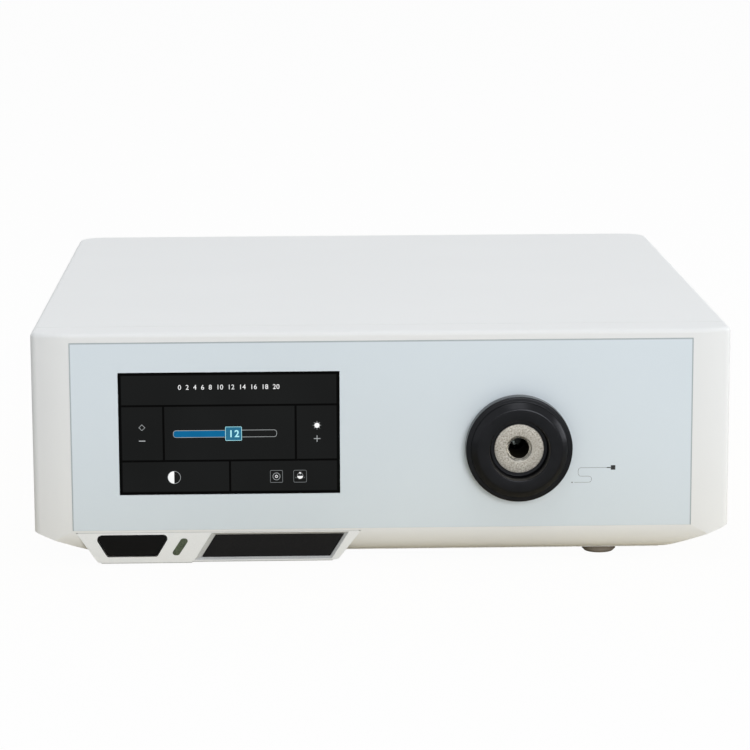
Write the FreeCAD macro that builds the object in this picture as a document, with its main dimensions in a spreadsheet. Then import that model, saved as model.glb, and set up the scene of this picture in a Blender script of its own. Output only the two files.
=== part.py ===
"""Fiber optic illuminator: a bench light source with an LED engine behind a light guide port.

Millimetres, +Z up, front face towards -Y. The origin is on the bench, under the middle of the part.
"""
import FreeCAD, Part

import math
import os
from collections import namedtuple

import Sketcher

# ---------------------------------------------------------------- driving sizes
SIZES = {
    # casing
    "body_width": 350.0, "body_depth": 370.0, "upper_height": 101.3,
    "foot_height": 4.7, "bevel_height": 12.0, "bevel_run": 33.5,
    "shell_wall": 3.0, "seam_setback": 22.0, "seam_gap": 0.4,
    "edge_round": 2.2, "cheek_round": 5.0, "rear_round": 15.0,
    "cheek_width": 19.5, "cheek_drop": 5.0, "fit_gap": 0.3,
    "bezel_wall": 4.5, "tongue_gap": 0.5, "tongue_side": 1.0,
    "rear_rail": 27.0, "rear_header": 8.7, "plate_margin": 2.0,
    "cover_inset": 4.5, "cover_rise": 13.3, "cover_drop": 18.0,
    "vent_width": 3.0, "vent_height": 42.0, "vent_low": 31.3, "vent_pitch": 8.0,
    "vent_count": 12, "vent_back": 40.0,
    # front panel, screen and port places
    "panel_thick": 3.0, "panel_drop": 4.5, "inlay_rise": 1.3, "inlay_gap": 0.05,
    "screen_width": 110.4, "screen_height": 62.2, "screen_side": 98.6, "screen_drop": 50.8,
    "glass_setback": 0.3, "module_width": 120.6, "module_height": 75.8, "module_thick": 5.4,
    "module_corner": 1.0,
    "bracket_rim": 7.0, "bracket_thick": 1.5, "control_width": 104.0, "control_height": 66.0,
    "control_standoff": 6.0, "plug_depth": 6.4, "plug_drop": 23.8, "board_thick": 1.6,
    "standoff_radius": 2.5, "screw_radius": 1.5, "port_side": 106.8, "port_drop": 59.2,
    # indicator pod
    "pod_side": 21.3, "pod_width": 142.6, "pod_drop": 3.3, "pod_height": 15.2,
    "pod_slant_left": 10.6, "pod_slant_right": 11.8, "pod_setback": 0.1, "pod_depth": 9.7,
    "pod_corner": 2.0, "pod_bend": 3.5, "pod_step_side": 57.8, "pod_step": 0.5,
    "power_side": 27.8, "power_width": 36.1, "power_slant": 5.9, "power_rise": 3.4,
    "power_height": 10.4, "power_corner": 1.6, "power_travel": 1.5, "power_thick": 6.0,
    "power_flange": 0.8, "tact_side": 5.6,
    "lamp_side": 54.6, "lamp_width": 3.7, "lamp_rise": 3.6, "lamp_height": 8.5, "lamp_corner": 1.1,
    "plate_side": 69.7, "plate_width": 64.9, "plate_rise": 2.1, "plate_height": 11.6,
    "plate_slant": 7.3, "plate_sink": 1.6, "plate_thick": 1.0, "plate_corner": 0.6,
    "tray_left": 2.9, "tray_right": 1.5, "tray_above": 1.2, "tray_below": 1.1,
    # light guide port
    "collar_reach": 10.5, "collar_flange": 26.8, "flange_step": 2.8, "shoulder_run": 3.4,
    "shoulder_drop": 0.9, "flange_thick": 3.0, "collar_mouth": 14.7, "collar_throat": 13.8,
    "throat_depth": 7.2,
    "spigot_radius": 20.0, "spigot_length": 15.0, "nut_radius": 26.5, "nut_thick": 5.0,
    "adapter_head": 12.2, "adapter_proud": 4.3, "adapter_seat": 2.0, "adapter_shank": 8.0,
    "adapter_length": 20.0, "guide_bore": 5.1, "guide_lead_in": 1.1, "slide_gap": 0.05,
    # LED engine
    "barrel_front": 24.0, "barrel_length": 50.0, "barrel_radius": 22.0, "barrel_wall": 3.0,
    "barrel_lip": 2.0, "barrel_foot": 4.5, "lens_sag": 6.0, "lens_edge": 2.0, "lens_space": 22.0,
    "keeper_thick": 3.0,
    "engine_plate": 6.0, "engine_half": 46.0, "engine_foot": 30.0, "rib_reach": 24.0,
    "toe_spread": 30.0, "toe_reach": 18.0, "led_side": 50.0,
    "led_window": 16.0, "led_package": 14.0, "led_dome": 6.0, "sink_base": 8.0, "sink_half": 42.0,
    "fin_length": 50.0, "fin_thick": 1.8, "fin_count": 14,
    # fans
    "fan_side": 80.0, "fan_thick": 25.0, "fan_wall": 2.0, "fan_hub": 16.5, "fan_base": 3.0,
    "blade_gap": 1.0, "blade_thick": 1.4, "blade_share": 0.4, "blade_count": 7, "fan_spindle": 1.5,
    "fan_hole_inset": 4.25, "rear_fan_side": 107.0,
    # inside
    "chassis_thick": 1.5, "chassis_gap": 4.4, "chassis_front": 14.0,
    "supply_width": 98.0, "supply_length": 150.0, "supply_height": 38.0, "supply_wall": 1.2,
    "supply_side": 5.0, "supply_margin": 16.0, "terminal_inset": 12.0, "terminal_depth": 12.0,
    "terminal_height": 13.0, "terminal_wall": 2.5, "terminal_count": 9,
    "driver_width": 100.0, "driver_length": 92.0, "driver_front": 38.0, "driver_standoff": 8.0,
    # rear
    "rear_plate": 1.5, "plate_drop": 6.0, "grille_slot": 4.0, "grille_margin": 4.0, "grille_count": 9,
    "inlet_side": 65.0, "inlet_flange_width": 50.0, "inlet_lap": 2.0,
    "inlet_flange": 3.0, "socket_wall": 1.8, "inlet_height": 58.0, "inlet_depth": 34.0,
    "socket_width": 24.4, "socket_height": 16.6, "socket_depth": 17.0, "pin_sink": 4.5,
    "pin_pitch": 7.0, "pin_rise": 2.0, "pin_width": 4.0, "pin_thick": 2.0,
    "rocker_width": 20.0, "rocker_height": 13.0, "drawer_height": 8.0, "drawer_wall": 2.0,
    "drawer_front": 1.6, "drawer_floor": 1.0, "pivot_radius": 1.2, "pivot_reach": 0.8,
    "fuse_radius": 2.5, "fuse_length": 20.0, "fuse_spread": 3.75,
    "stud_reach": 16.0, "stud_radius": 3.0, "stud_side": 50.0, "stud_rise": 23.3, "stud_nut": 5.5,
    "stud_nut_thick": 4.0,
    # feet, screws and leads
    "foot_radius": 8.6, "foot_side": 63.6, "foot_setback": 24.0, "foot_back": 34.0, "foot_bevel": 1.2,
    "screw_head": 2.8, "screw_head_thick": 1.6, "fan_screw_length": 10.0,
    "mains_radius": 2.5, "wire_radius": 1.6, "thin_wire_radius": 0.9, "lead_side": 8.0, "lead_lift": 12.0,
}

Circle = namedtuple("Circle", "x y radius")
HAIR = 0.001


class Size:
    """A length: its number, and the text that the document keeps as an expression."""

    def __init__(self, number, text):
        self.number = number
        self.text = text

    def _with(self, other, sign, number):
        return Size(number, "(%s %s %s)" % (self.text, sign, sized(other).text))

    def __add__(self, other):
        return self._with(other, "+", self.number + sized(other).number)

    def __sub__(self, other):
        return self._with(other, "-", self.number - sized(other).number)

    def __mul__(self, other):
        return self._with(other, "*", self.number * sized(other).number)

    def __truediv__(self, other):
        return self._with(other, "/", self.number / sized(other).number)

    def __radd__(self, other):
        return sized(other) + self

    def __rsub__(self, other):
        return sized(other) - self

    def __rmul__(self, other):
        return sized(other) * self

    def __rtruediv__(self, other):
        return sized(other) / self

    def __neg__(self):
        return Size(-self.number, "(0 - %s)" % self.text)


def sized(value):
    """A plain number as a Size; a Size as it is."""
    return value if isinstance(value, Size) else Size(float(value), repr(float(value)))


def root(value):
    return Size(math.sqrt(value.number), "sqrt(%s)" % value.text)


class Sheet:
    """The driving sizes by name, each tied to its cell."""


doc = FreeCAD.newDocument("illuminator")
cells = doc.addObject("Spreadsheet::Sheet", "Sizes")
S = Sheet()
for row, (name, number) in enumerate(SIZES.items(), 1):
    cells.set("A%d" % row, name)
    cells.set("B%d" % row, str(number))
    cells.setAlias("B%d" % row, name)
    setattr(S, name, Size(number, "Sizes." + name))
doc.recompute()

def depth(distance):
    """The place that lies a distance behind the front plane."""
    return FRONT + distance


# ---------------------------------------------------------------- planes of the casing
FRONT = (S.collar_reach - S.stud_reach - S.body_depth) / 2
REAR = FRONT + S.body_depth
BASE = S.foot_height
WAIST = BASE + S.bevel_height
TOP = WAIST + S.upper_height
HALF = S.body_width / 2
FLOOR = BASE + S.shell_wall
CHASSIS = FLOOR + S.chassis_thick
SLOPE = S.bevel_run / S.bevel_height
SIDE_WALL = S.shell_wall * root(S.bevel_run * S.bevel_run + S.bevel_height * S.bevel_height) / S.bevel_height
INLAY_HALF = HALF - S.cheek_width
INLAY_LOW = WAIST + S.inlay_rise
CHIN = S.bevel_height + S.inlay_rise
FLOOR_HALF = HALF - S.bevel_run + SLOPE * S.shell_wall - SIDE_WALL
BEZEL_BACK = S.panel_thick + S.bezel_wall
PLATE_BACK = REAR - S.shell_wall
PLATE_FRONT = PLATE_BACK - S.rear_plate
WINDOW_Z = (WAIST + TOP - S.rear_header) / 2
SCREEN_X = S.screen_side - HALF
SCREEN_Z = TOP - S.screen_drop
PORT_X = HALF - S.port_side
PORT_Z = TOP - S.port_drop
POD_LEFT = S.pod_side - HALF
POD_RIGHT = POD_LEFT + S.pod_width
POD_BASE = BASE - S.pod_drop
POD_FRONT = S.pod_setback
POD_BACK = POD_FRONT + S.pod_depth
TONGUE_FRONT = POD_BACK + S.tongue_gap
CHASSIS_HALF = FLOOR_HALF - S.chassis_gap
FOOT_X = HALF - S.foot_side
INLET_X = S.inlet_side - HALF
INLET_FRONT = PLATE_BACK - S.inlet_depth
DRIVER_X = S.supply_side - CHASSIS_HALF + S.driver_width / 2
DRIVER_BACK = depth(S.driver_front) + S.driver_length
SUPPLY_X = S.supply_side - CHASSIS_HALF + S.supply_width / 2
SUPPLY_FRONT = (DRIVER_BACK + INLET_FRONT - S.supply_length) / 2
SUPPLY_BACK = SUPPLY_FRONT + S.supply_length
STUD_X = INLET_X + S.stud_side
STUD_Z = WAIST + S.stud_rise
REAR_FAN_X = HALF - S.rear_fan_side
AHEAD = FreeCAD.Vector(0, 0, 1)
TURNS = {
    "x": FreeCAD.Rotation(FreeCAD.Vector(0, 1, 0), 90),
    "y": FreeCAD.Rotation(FreeCAD.Vector(1, 0, 0), -90),
    "z": FreeCAD.Rotation(),
}
NODES = []


# ---------------------------------------------------------------- document helpers
def bind(obj, prop, value):
    obj.setExpression(prop, sized(value).text)


def place(obj, x, y, z):
    bind(obj, "Placement.Base.x", x)
    bind(obj, "Placement.Base.y", y)
    bind(obj, "Placement.Base.z", z)
    return obj


def node(obj, label):
    """Gives a finished sub-part its name and lists it for the files."""
    obj.Label = label
    NODES.append(obj)
    return obj


def new_body(label, x=0, y=0, z=0):
    return place(doc.addObject("PartDesign::Body", label), x, y, z)


def origin(owner, role):
    return next(item for item in owner.Origin.OriginFeatures if item.Role == role)


def fix(sketch, kind, ends, value):
    """One dimension of a sketch, tied to its size."""
    number = sketch.addConstraint(Sketcher.Constraint(kind, *ends, value.number))
    sketch.setExpression("Constraints[%d]" % number, value.text)


def arc_between(start, end, radius):
    """An arc from start to end; a positive radius turns left, a negative one turns right."""
    chord = end - start
    middle = (start + end) * 0.5
    rise = math.sqrt(radius * radius - chord.Length ** 2 / 4)
    left = FreeCAD.Vector(-chord.y, chord.x, 0).normalize()
    centre = middle + left * math.copysign(rise, radius)
    first, last = (start, end) if radius > 0 else (end, start)
    angles = [math.atan2(point.y - centre.y, point.x - centre.x) for point in (first, last)]
    return Part.ArcOfCircle(Part.Circle(centre, AHEAD, abs(radius)), *angles)


def draw(sketch, outline):
    """A circle, or a closed outline of corners (x, y) and arc starts (x, y, radius)."""
    if isinstance(outline, Circle):
        x, y, radius = [sized(value) for value in outline]
        centre = FreeCAD.Vector(x.number, y.number, 0)
        curve = sketch.addGeometry(Part.Circle(centre, AHEAD, radius.number))
        fix(sketch, "DistanceX", (-1, 1, curve, 3), x)
        fix(sketch, "DistanceY", (-1, 1, curve, 3), y)
        fix(sketch, "Radius", (curve,), radius)
        return
    points = [[sized(value) for value in point] for point in outline]
    corners = [FreeCAD.Vector(point[0].number, point[1].number, 0) for point in points]
    first = sketch.GeometryCount
    ends = []
    for index, point in enumerate(points):
        start, end = corners[index], corners[(index + 1) % len(points)]
        curved = len(point) == 3
        edge = arc_between(start, end, point[2].number) if curved else Part.LineSegment(start, end)
        sketch.addGeometry(edge)
        ends.append((2, 1) if curved and point[2].number < 0 else (1, 2))
    for index, point in enumerate(points):
        curve, following = first + index, (index + 1) % len(points)
        joint = (curve, ends[index][1], first + following, ends[following][0])
        sketch.addConstraint(Sketcher.Constraint("Coincident", *joint))
        fix(sketch, "DistanceX", (-1, 1, curve, ends[index][0]), point[0])
        fix(sketch, "DistanceY", (-1, 1, curve, ends[index][0]), point[1])
        if len(point) == 3:
            radius = point[2] if point[2].number > 0 else -point[2]
            fix(sketch, "Radius", (curve,), radius)


def new_sketch(owner, plane, offset, outlines):
    sketch = owner.newObject("Sketcher::SketchObject", owner.Name + "_sketch")
    sketch.AttachmentSupport = (origin(owner, plane + "_Plane"), [""])
    sketch.MapMode = "FlatFace"
    bind(sketch, "AttachmentOffset.Base.z", offset)
    for outline in outlines:
        draw(sketch, outline)
    return sketch


def extrude(kind, owner, plane, span, *outlines):
    """A Pad or Pocket of outlines on a plane, between two places along the plane's axis."""
    low, high = sized(span[0]), sized(span[1])
    starts = {
        ("Pad", "XY"): low, ("Pad", "XZ"): -high, ("Pad", "YZ"): low,
        ("Pocket", "XY"): high, ("Pocket", "XZ"): -low, ("Pocket", "YZ"): high,
    }
    feature_sketch = new_sketch(owner, plane, starts[kind, plane], outlines)
    feature = owner.newObject("PartDesign::" + kind, owner.Name + "_" + kind.lower())
    feature.Profile = feature_sketch
    bind(feature, "Length", high - low)
    return feature


def revolve(owner, profile, kind="Revolution"):
    """Turns a profile of (y, radius) points about the body's own Y axis."""
    feature_sketch = new_sketch(owner, "YZ", 0, [profile])
    feature = owner.newObject("PartDesign::" + kind, owner.Name + "_" + kind.lower())
    feature.Profile = feature_sketch
    feature.ReferenceAxis = (feature_sketch, ["H_Axis"])
    feature.Angle = 360
    return feature


def loft(kind, owner, plane, sections):
    """A straight loft between two outlines on parallel planes."""
    sketches = [new_sketch(owner, plane, offset, [outline]) for offset, outline in sections]
    feature = owner.newObject("PartDesign::" + kind, owner.Name + "_loft")
    feature.Profile = sketches[0]
    feature.Sections = sketches[1:]
    feature.Ruled = True
    return feature


def soften(owner, kind, amount, wanted):
    """Fillets or chamfers the edges of the body's last feature that a test picks."""
    doc.recompute()
    base = owner.Tip
    edges = ["Edge%d" % number for number, edge in enumerate(base.Shape.Edges, 1) if wanted(edge)]
    feature = owner.newObject("PartDesign::" + kind, owner.Name + "_" + kind.lower())
    feature.Base = (base, edges)
    bind(feature, "Radius" if kind == "Fillet" else "Size", amount)
    return feature


def repeat(owner, feature, role, reach, count):
    """Repeats a feature in a row along an axis, from the first place to the last."""
    pattern = owner.newObject("PartDesign::LinearPattern", owner.Name + "_row")
    pattern.Originals = [feature]
    pattern.Direction = (origin(owner, role), [""])
    bind(pattern, "Length", reach)
    bind(pattern, "Occurrences", count)
    owner.Tip = pattern
    return pattern


def around(owner, feature, count):
    """Repeats a feature in a ring about the body's own Y axis."""
    pattern = owner.newObject("PartDesign::PolarPattern", owner.Name + "_ring")
    pattern.Originals = [feature]
    pattern.Axis = (origin(owner, "Y_Axis"), [""])
    pattern.Angle = 360
    bind(pattern, "Occurrences", count)
    owner.Tip = pattern
    return pattern


def block(name, low, high):
    """A box between two corners."""
    solid = doc.addObject("Part::Box", name)
    for side, start, end in zip(("Length", "Width", "Height"), low, high):
        bind(solid, side, sized(end) - start)
    return place(solid, *low)


def rod(name, axis, start, length, radius):
    """A cylinder that runs from a point along an axis."""
    solid = doc.addObject("Part::Cylinder", name)
    solid.Placement.Rotation = TURNS[axis]
    bind(solid, "Height", length)
    bind(solid, "Radius", radius)
    return place(solid, *start)


def joined(kind, name, solids):
    obj = doc.addObject(kind, name)
    if kind == "Part::Compound":
        obj.Links = solids
    else:
        obj.Shapes = solids
    return obj


def rectangle(left, low, right, high, corner=None):
    if corner is None:
        return [(left, low), (right, low), (right, high), (left, high)]
    return [
        (left + corner, low), (right - corner, low, corner),
        (right, low + corner), (right, high - corner, corner),
        (right - corner, high), (left + corner, high, corner),
        (left, high - corner), (left, low + corner, corner),
    ]


def square(half, corner=None):
    return rectangle(-half, -half, half, half, corner)


def centred(x, z, width, height, corner=None):
    return rectangle(x - width / 2, z - height / 2, x + width / 2, z + height / 2, corner)


def casing_plan(half, front, rear, corner):
    """Plan of the casing: square at the seam, rounded at the two rear corners."""
    return [
        (-half, front), (half, front), (half, rear - corner, corner),
        (half - corner, rear), (corner - half, rear, corner), (-half, rear - corner),
    ]


def near(value, target):
    return abs(value - target.number) < HAIR


def level(edge, place_at):
    """Whether an edge lies flat at a height."""
    return near(edge.BoundBox.ZMin, place_at) and near(edge.BoundBox.ZMax, place_at)


def upright(edge, x, y):
    """Whether an edge stands upright at a place in plan."""
    box = edge.BoundBox
    narrow = box.XLength < HAIR and box.YLength < HAIR
    return narrow and near(abs(box.XMin), sized(x)) and near(box.YMin, sized(y))


def on_corner(edge, outline):
    """Whether an edge runs along Y through a corner of an outline."""
    box = edge.BoundBox
    if box.YLength < HAIR or box.XLength > HAIR or box.ZLength > HAIR:
        return False
    return any(near(box.XMin, sized(x)) and near(box.ZMin, sized(z)) for x, z in outline)


def cover_places():
    """Where the rear frame is screwed to the rear panel."""
    across = HALF - S.rear_rail + S.cover_inset
    heights = (WAIST + S.cover_rise, TOP - S.cover_drop)
    return [(side * across, z) for side in (-1, 1) for z in heights]


def screw_holes(places):
    return [Circle(x, z, S.screw_radius + S.slide_gap) for x, z in places]


# ---------------------------------------------------------------- casing
def upper_shell():
    """Top, sides and rear frame in one moulding, open at the front and below."""
    seam = depth(S.seam_setback + S.seam_gap)
    shell = new_body("upper_shell")
    extrude("Pad", shell, "XY", (WAIST, TOP), casing_plan(HALF, seam, REAR, S.rear_round))
    soften(
        shell, "Fillet", S.edge_round,
        lambda edge: level(edge, TOP) and edge.BoundBox.YMax > seam.number + 1,
    )
    inner = casing_plan(HALF - S.shell_wall, seam, PLATE_BACK, S.rear_round - S.shell_wall)
    extrude("Pocket", shell, "XY", (WAIST, TOP - S.shell_wall), inner)
    window = rectangle(S.rear_rail - HALF, WAIST, HALF - S.rear_rail, TOP - S.rear_header)
    extrude("Pocket", shell, "XZ", (PLATE_BACK, REAR), window, *screw_holes(cover_places()))
    first = REAR - S.vent_back - S.vent_pitch * (S.vent_count - 1)
    slot_low = WAIST + S.vent_low
    slot = rectangle(first, slot_low, first + S.vent_width, slot_low + S.vent_height)
    vents = extrude("Pocket", shell, "YZ", (-HALF, HALF), slot)
    repeat(shell, vents, "Y_Axis", S.vent_pitch * (S.vent_count - 1), S.vent_count)
    return node(shell, "upper_shell")


def base_tray():
    """Bevelled tray with a rear wall; a tongue runs forward under the bezel."""
    seam = depth(S.seam_setback + S.seam_gap)
    tray = new_body("base_tray")
    low_half = HALF - S.bevel_run
    loft("AdditiveLoft", tray, "XY", [
        (BASE, casing_plan(low_half, seam, REAR, S.rear_round)),
        (WAIST, casing_plan(HALF, seam, REAR, S.rear_round)),
    ])
    inner_round = S.rear_round - S.shell_wall
    loft("SubtractiveLoft", tray, "XY", [
        (FLOOR, casing_plan(FLOOR_HALF, seam, PLATE_BACK, inner_round)),
        (WAIST, casing_plan(HALF - SIDE_WALL, seam, PLATE_BACK, inner_round)),
    ])
    tongue_half = low_half - S.tongue_side
    tongue = rectangle(-tongue_half, depth(TONGUE_FRONT), tongue_half, seam)
    extrude("Pad", tray, "XY", (BASE, FLOOR), tongue)
    return node(tray, "base_tray")


def pod_outline(gap, low):
    """Outline of the indicator pod, grown by a gap and closed at a height."""
    high = POD_BASE + S.pod_height + gap
    left_slope = S.pod_slant_left / S.pod_height
    right_slope = S.pod_slant_right / S.pod_height
    rise = high - low
    return [
        (POD_LEFT - gap + left_slope * rise, low), (POD_RIGHT + gap - right_slope * rise, low),
        (POD_RIGHT + gap, high), (POD_LEFT - gap, high),
    ]


def front_bezel():
    """The moulded front: cheeks that curve back, a rounded chin, a sunk field for the inlay."""
    seam = depth(S.seam_setback)
    bezel = new_body("front_bezel")
    sweep = (S.cheek_width * S.cheek_width + S.cheek_drop * S.cheek_drop) / (2 * S.cheek_drop)
    cheek = depth(S.cheek_drop)
    plan = [
        (-HALF, cheek, sweep), (-INLAY_HALF, FRONT), (INLAY_HALF, FRONT, sweep),
        (HALF, cheek), (HALF, seam), (-HALF, seam),
    ]
    extrude("Pad", bezel, "XY", (BASE, TOP), plan)
    soften(bezel, "Fillet", S.cheek_round, lambda edge: upright(edge, HALF, cheek))
    soften(
        bezel, "Fillet", S.edge_round,
        lambda edge: level(edge, TOP) and edge.BoundBox.YMin < seam.number - 1,
    )
    chin = [(FRONT, BASE), (depth(CHIN), BASE, -CHIN), (FRONT, INLAY_LOW)]
    extrude("Pocket", bezel, "YZ", (-HALF, HALF), chin)
    bevels = [
        [(-HALF, BASE), (S.bevel_run - HALF, BASE), (-HALF, WAIST)],
        [(HALF - S.bevel_run, BASE), (HALF, BASE), (HALF, WAIST)],
    ]
    extrude("Pocket", bezel, "XZ", (FRONT, seam), *bevels)
    field = rectangle(-INLAY_HALF, INLAY_LOW, INLAY_HALF, TOP - S.panel_drop)
    extrude("Pocket", bezel, "XZ", (FRONT, depth(S.panel_thick)), field)
    wall_half = HALF - S.shell_wall
    knee = FLOOR + (wall_half - FLOOR_HALF) / SLOPE
    cavity = [
        (-FLOOR_HALF, FLOOR), (FLOOR_HALF, FLOOR), (wall_half, knee),
        (wall_half, TOP - S.shell_wall), (-wall_half, TOP - S.shell_wall), (-wall_half, knee),
    ]
    extrude("Pocket", bezel, "XZ", (depth(BEZEL_BACK), seam), cavity)
    display = centred(SCREEN_X, SCREEN_Z, S.module_width + 2 * S.fit_gap, S.module_height + 2 * S.fit_gap)
    port = Circle(PORT_X, PORT_Z, S.spigot_radius + S.fit_gap)
    extrude("Pocket", bezel, "XZ", (depth(S.panel_thick), depth(BEZEL_BACK)), display, port)
    slot_half = HALF - S.bevel_run - S.tongue_side + S.fit_gap
    slot_front = depth(TONGUE_FRONT - S.fit_gap)
    extrude("Pocket", bezel, "XY", (BASE, FLOOR), rectangle(-slot_half, slot_front, slot_half, seam))
    pod_hole = pod_outline(S.fit_gap, POD_BASE)
    extrude("Pocket", bezel, "XZ", (FRONT, slot_front), pod_hole)
    bosses = [Circle(x, z, S.bracket_rim / 2) for x, z in bracket_corners()]
    holes = screw_holes(bracket_corners())
    extrude("Pad", bezel, "XZ", (depth(BEZEL_BACK), depth(MODULE_BACK)), *bosses, *holes)
    return node(bezel, "front_bezel")


def front_panel():
    """The flat inlay, with its screen window and port hole."""
    panel = new_body("front_panel")
    edge = INLAY_HALF - S.inlay_gap
    face = rectangle(-edge, INLAY_LOW + S.inlay_gap, edge, TOP - S.panel_drop - S.inlay_gap)
    window = centred(SCREEN_X, SCREEN_Z, S.screen_width, S.screen_height)
    port = Circle(PORT_X, PORT_Z, S.spigot_radius + S.fit_gap)
    extrude("Pad", panel, "XZ", (FRONT, depth(S.panel_thick)), face, window, port)
    return node(panel, "front_panel")


# ---------------------------------------------------------------- screen and control board
MODULE_BACK = S.panel_thick + S.module_thick
BRACKET_BACK = MODULE_BACK + S.bracket_thick
CONTROL_FRONT = BRACKET_BACK + S.control_standoff
CONTROL_PLUG_Z = SCREEN_Z - S.plug_drop
CONTROL_PLUG_BACK = CONTROL_FRONT + S.board_thick + S.plug_depth


def bracket_corners():
    """Where the display bracket is screwed to the bezel."""
    across = (S.module_width + S.bracket_rim) / 2 + S.fit_gap
    up = S.module_height / 4
    return [(SCREEN_X + side * across, SCREEN_Z + rise * up) for side in (-1, 1) for rise in (-1, 1)]


def display_parts():
    glass = new_body("touch_glass")
    gap = S.fit_gap / 2
    outline = centred(SCREEN_X, SCREEN_Z, S.screen_width - gap * 2, S.screen_height - gap * 2)
    extrude("Pad", glass, "XZ", (depth(S.glass_setback), depth(S.panel_thick)), outline)
    node(glass, "touch_glass")
    module = new_body("display_module")
    outline = centred(SCREEN_X, SCREEN_Z, S.module_width, S.module_height, S.module_corner)
    extrude("Pad", module, "XZ", (depth(S.panel_thick), depth(MODULE_BACK)), outline)
    node(module, "display_module")
    bracket = new_body("display_bracket")
    width = S.module_width + 2 * S.bracket_rim + 2 * S.fit_gap
    outer = centred(SCREEN_X, SCREEN_Z, width, S.module_height, S.bracket_rim / 2)
    opening = centred(SCREEN_X, SCREEN_Z, S.control_width / 2, S.control_height / 2, S.bracket_rim / 2)
    holes = screw_holes(bracket_corners())
    extrude("Pad", bracket, "XZ", (depth(MODULE_BACK), depth(BRACKET_BACK)), outer, opening, *holes)
    node(bracket, "display_bracket")
    grip = BRACKET_BACK - BEZEL_BACK
    screws("bracket_screws", [screw((x, depth(BRACKET_BACK), z), grip) for x, z in bracket_corners()])


def control_corners():
    across = S.control_width / 2 - S.standoff_radius * 2
    up = S.control_height / 2 - S.standoff_radius * 2
    return [(SCREEN_X + side * across, SCREEN_Z + rise * up) for side in (-1, 1) for rise in (-1, 1)]


def control_parts():
    posts = [
        rod("control_standoff", "y", (x, depth(BRACKET_BACK), z), S.control_standoff, S.standoff_radius)
        for x, z in control_corners()
    ]
    node(joined("Part::Compound", "control_standoffs", posts), "control_standoffs")
    board = new_body("control_board")
    back = CONTROL_FRONT + S.board_thick
    outline = centred(SCREEN_X, SCREEN_Z, S.control_width, S.control_height, S.standoff_radius)
    extrude("Pad", board, "XZ", (depth(CONTROL_FRONT), depth(back)), outline)
    chips = [
        centred(SCREEN_X, SCREEN_Z, S.control_height / 4, S.control_height / 4),
        centred(SCREEN_X + S.control_width / 4, SCREEN_Z, S.control_height / 6, S.control_height / 5),
        centred(SCREEN_X - S.control_width / 4, SCREEN_Z, S.control_height / 8, S.control_height / 3),
    ]
    extrude("Pad", board, "XZ", (depth(back), depth(back + S.board_thick)), *chips)
    plug = centred(SCREEN_X, CONTROL_PLUG_Z, S.control_width / 3, S.control_height / 10)
    extrude("Pad", board, "XZ", (depth(back), depth(CONTROL_PLUG_BACK)), plug)
    link = centred(SCREEN_X, SCREEN_Z, S.control_width / 3, S.control_height / 12)
    extrude("Pad", board, "XZ", (depth(MODULE_BACK), depth(CONTROL_FRONT)), link)
    node(board, "control_board")


# ---------------------------------------------------------------- indicator pod
def slanted(x, low, high, width, lean):
    """A bar that leans left towards its foot."""
    run = (high - low) * lean
    left, right = x - width / 2, x + width / 2
    return [(left - run, low), (right - run, low), (right, high), (left, high)]


def power_outline(gap):
    """The power key: a trapezoid, wider at the top, grown by a gap."""
    top_half = S.power_width / 2 + gap
    low, high = POWER_BASE - gap, POWER_BASE + S.power_height + gap
    run = S.power_slant * (S.power_height + 2 * gap) / S.power_height
    return [
        (POWER_X - top_half + run, low), (POWER_X + top_half - run, low),
        (POWER_X + top_half, high), (POWER_X - top_half, high),
    ]


STEP_X = POD_LEFT + S.pod_step_side
POWER_X = POD_LEFT + S.power_side
POWER_BASE = POD_BASE + S.power_rise
LAMP_X = POD_LEFT + S.lamp_side
LAMP_BASE = POD_BASE + S.lamp_rise
LAMP_TOP = LAMP_BASE + S.lamp_height
PLATE_LEFT = POD_LEFT + S.plate_side
PLATE_RIGHT = PLATE_LEFT + S.plate_width
PLATE_BASE = POD_BASE + S.plate_rise
LEAN = S.plate_slant / S.plate_height
PLATE_FACE = POD_FRONT + S.plate_sink
KEY_BACK = POD_FRONT - S.fit_gap + S.power_thick


def plate_outline(gap, left, low, right, high):
    """The name plate's outline, narrowed by a gap and grown on its four sides."""
    base, top = PLATE_BASE - low, PLATE_BASE + S.plate_height + high
    left_foot = PLATE_LEFT - left + gap - LEAN * (S.plate_height + low)
    right_foot = PLATE_RIGHT + right - gap - LEAN * (S.plate_height + low)
    return [
        (left_foot, base), (right_foot, base),
        (PLATE_RIGHT + right - gap + LEAN * high, top), (PLATE_LEFT - left + gap + LEAN * high, top),
    ]


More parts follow.
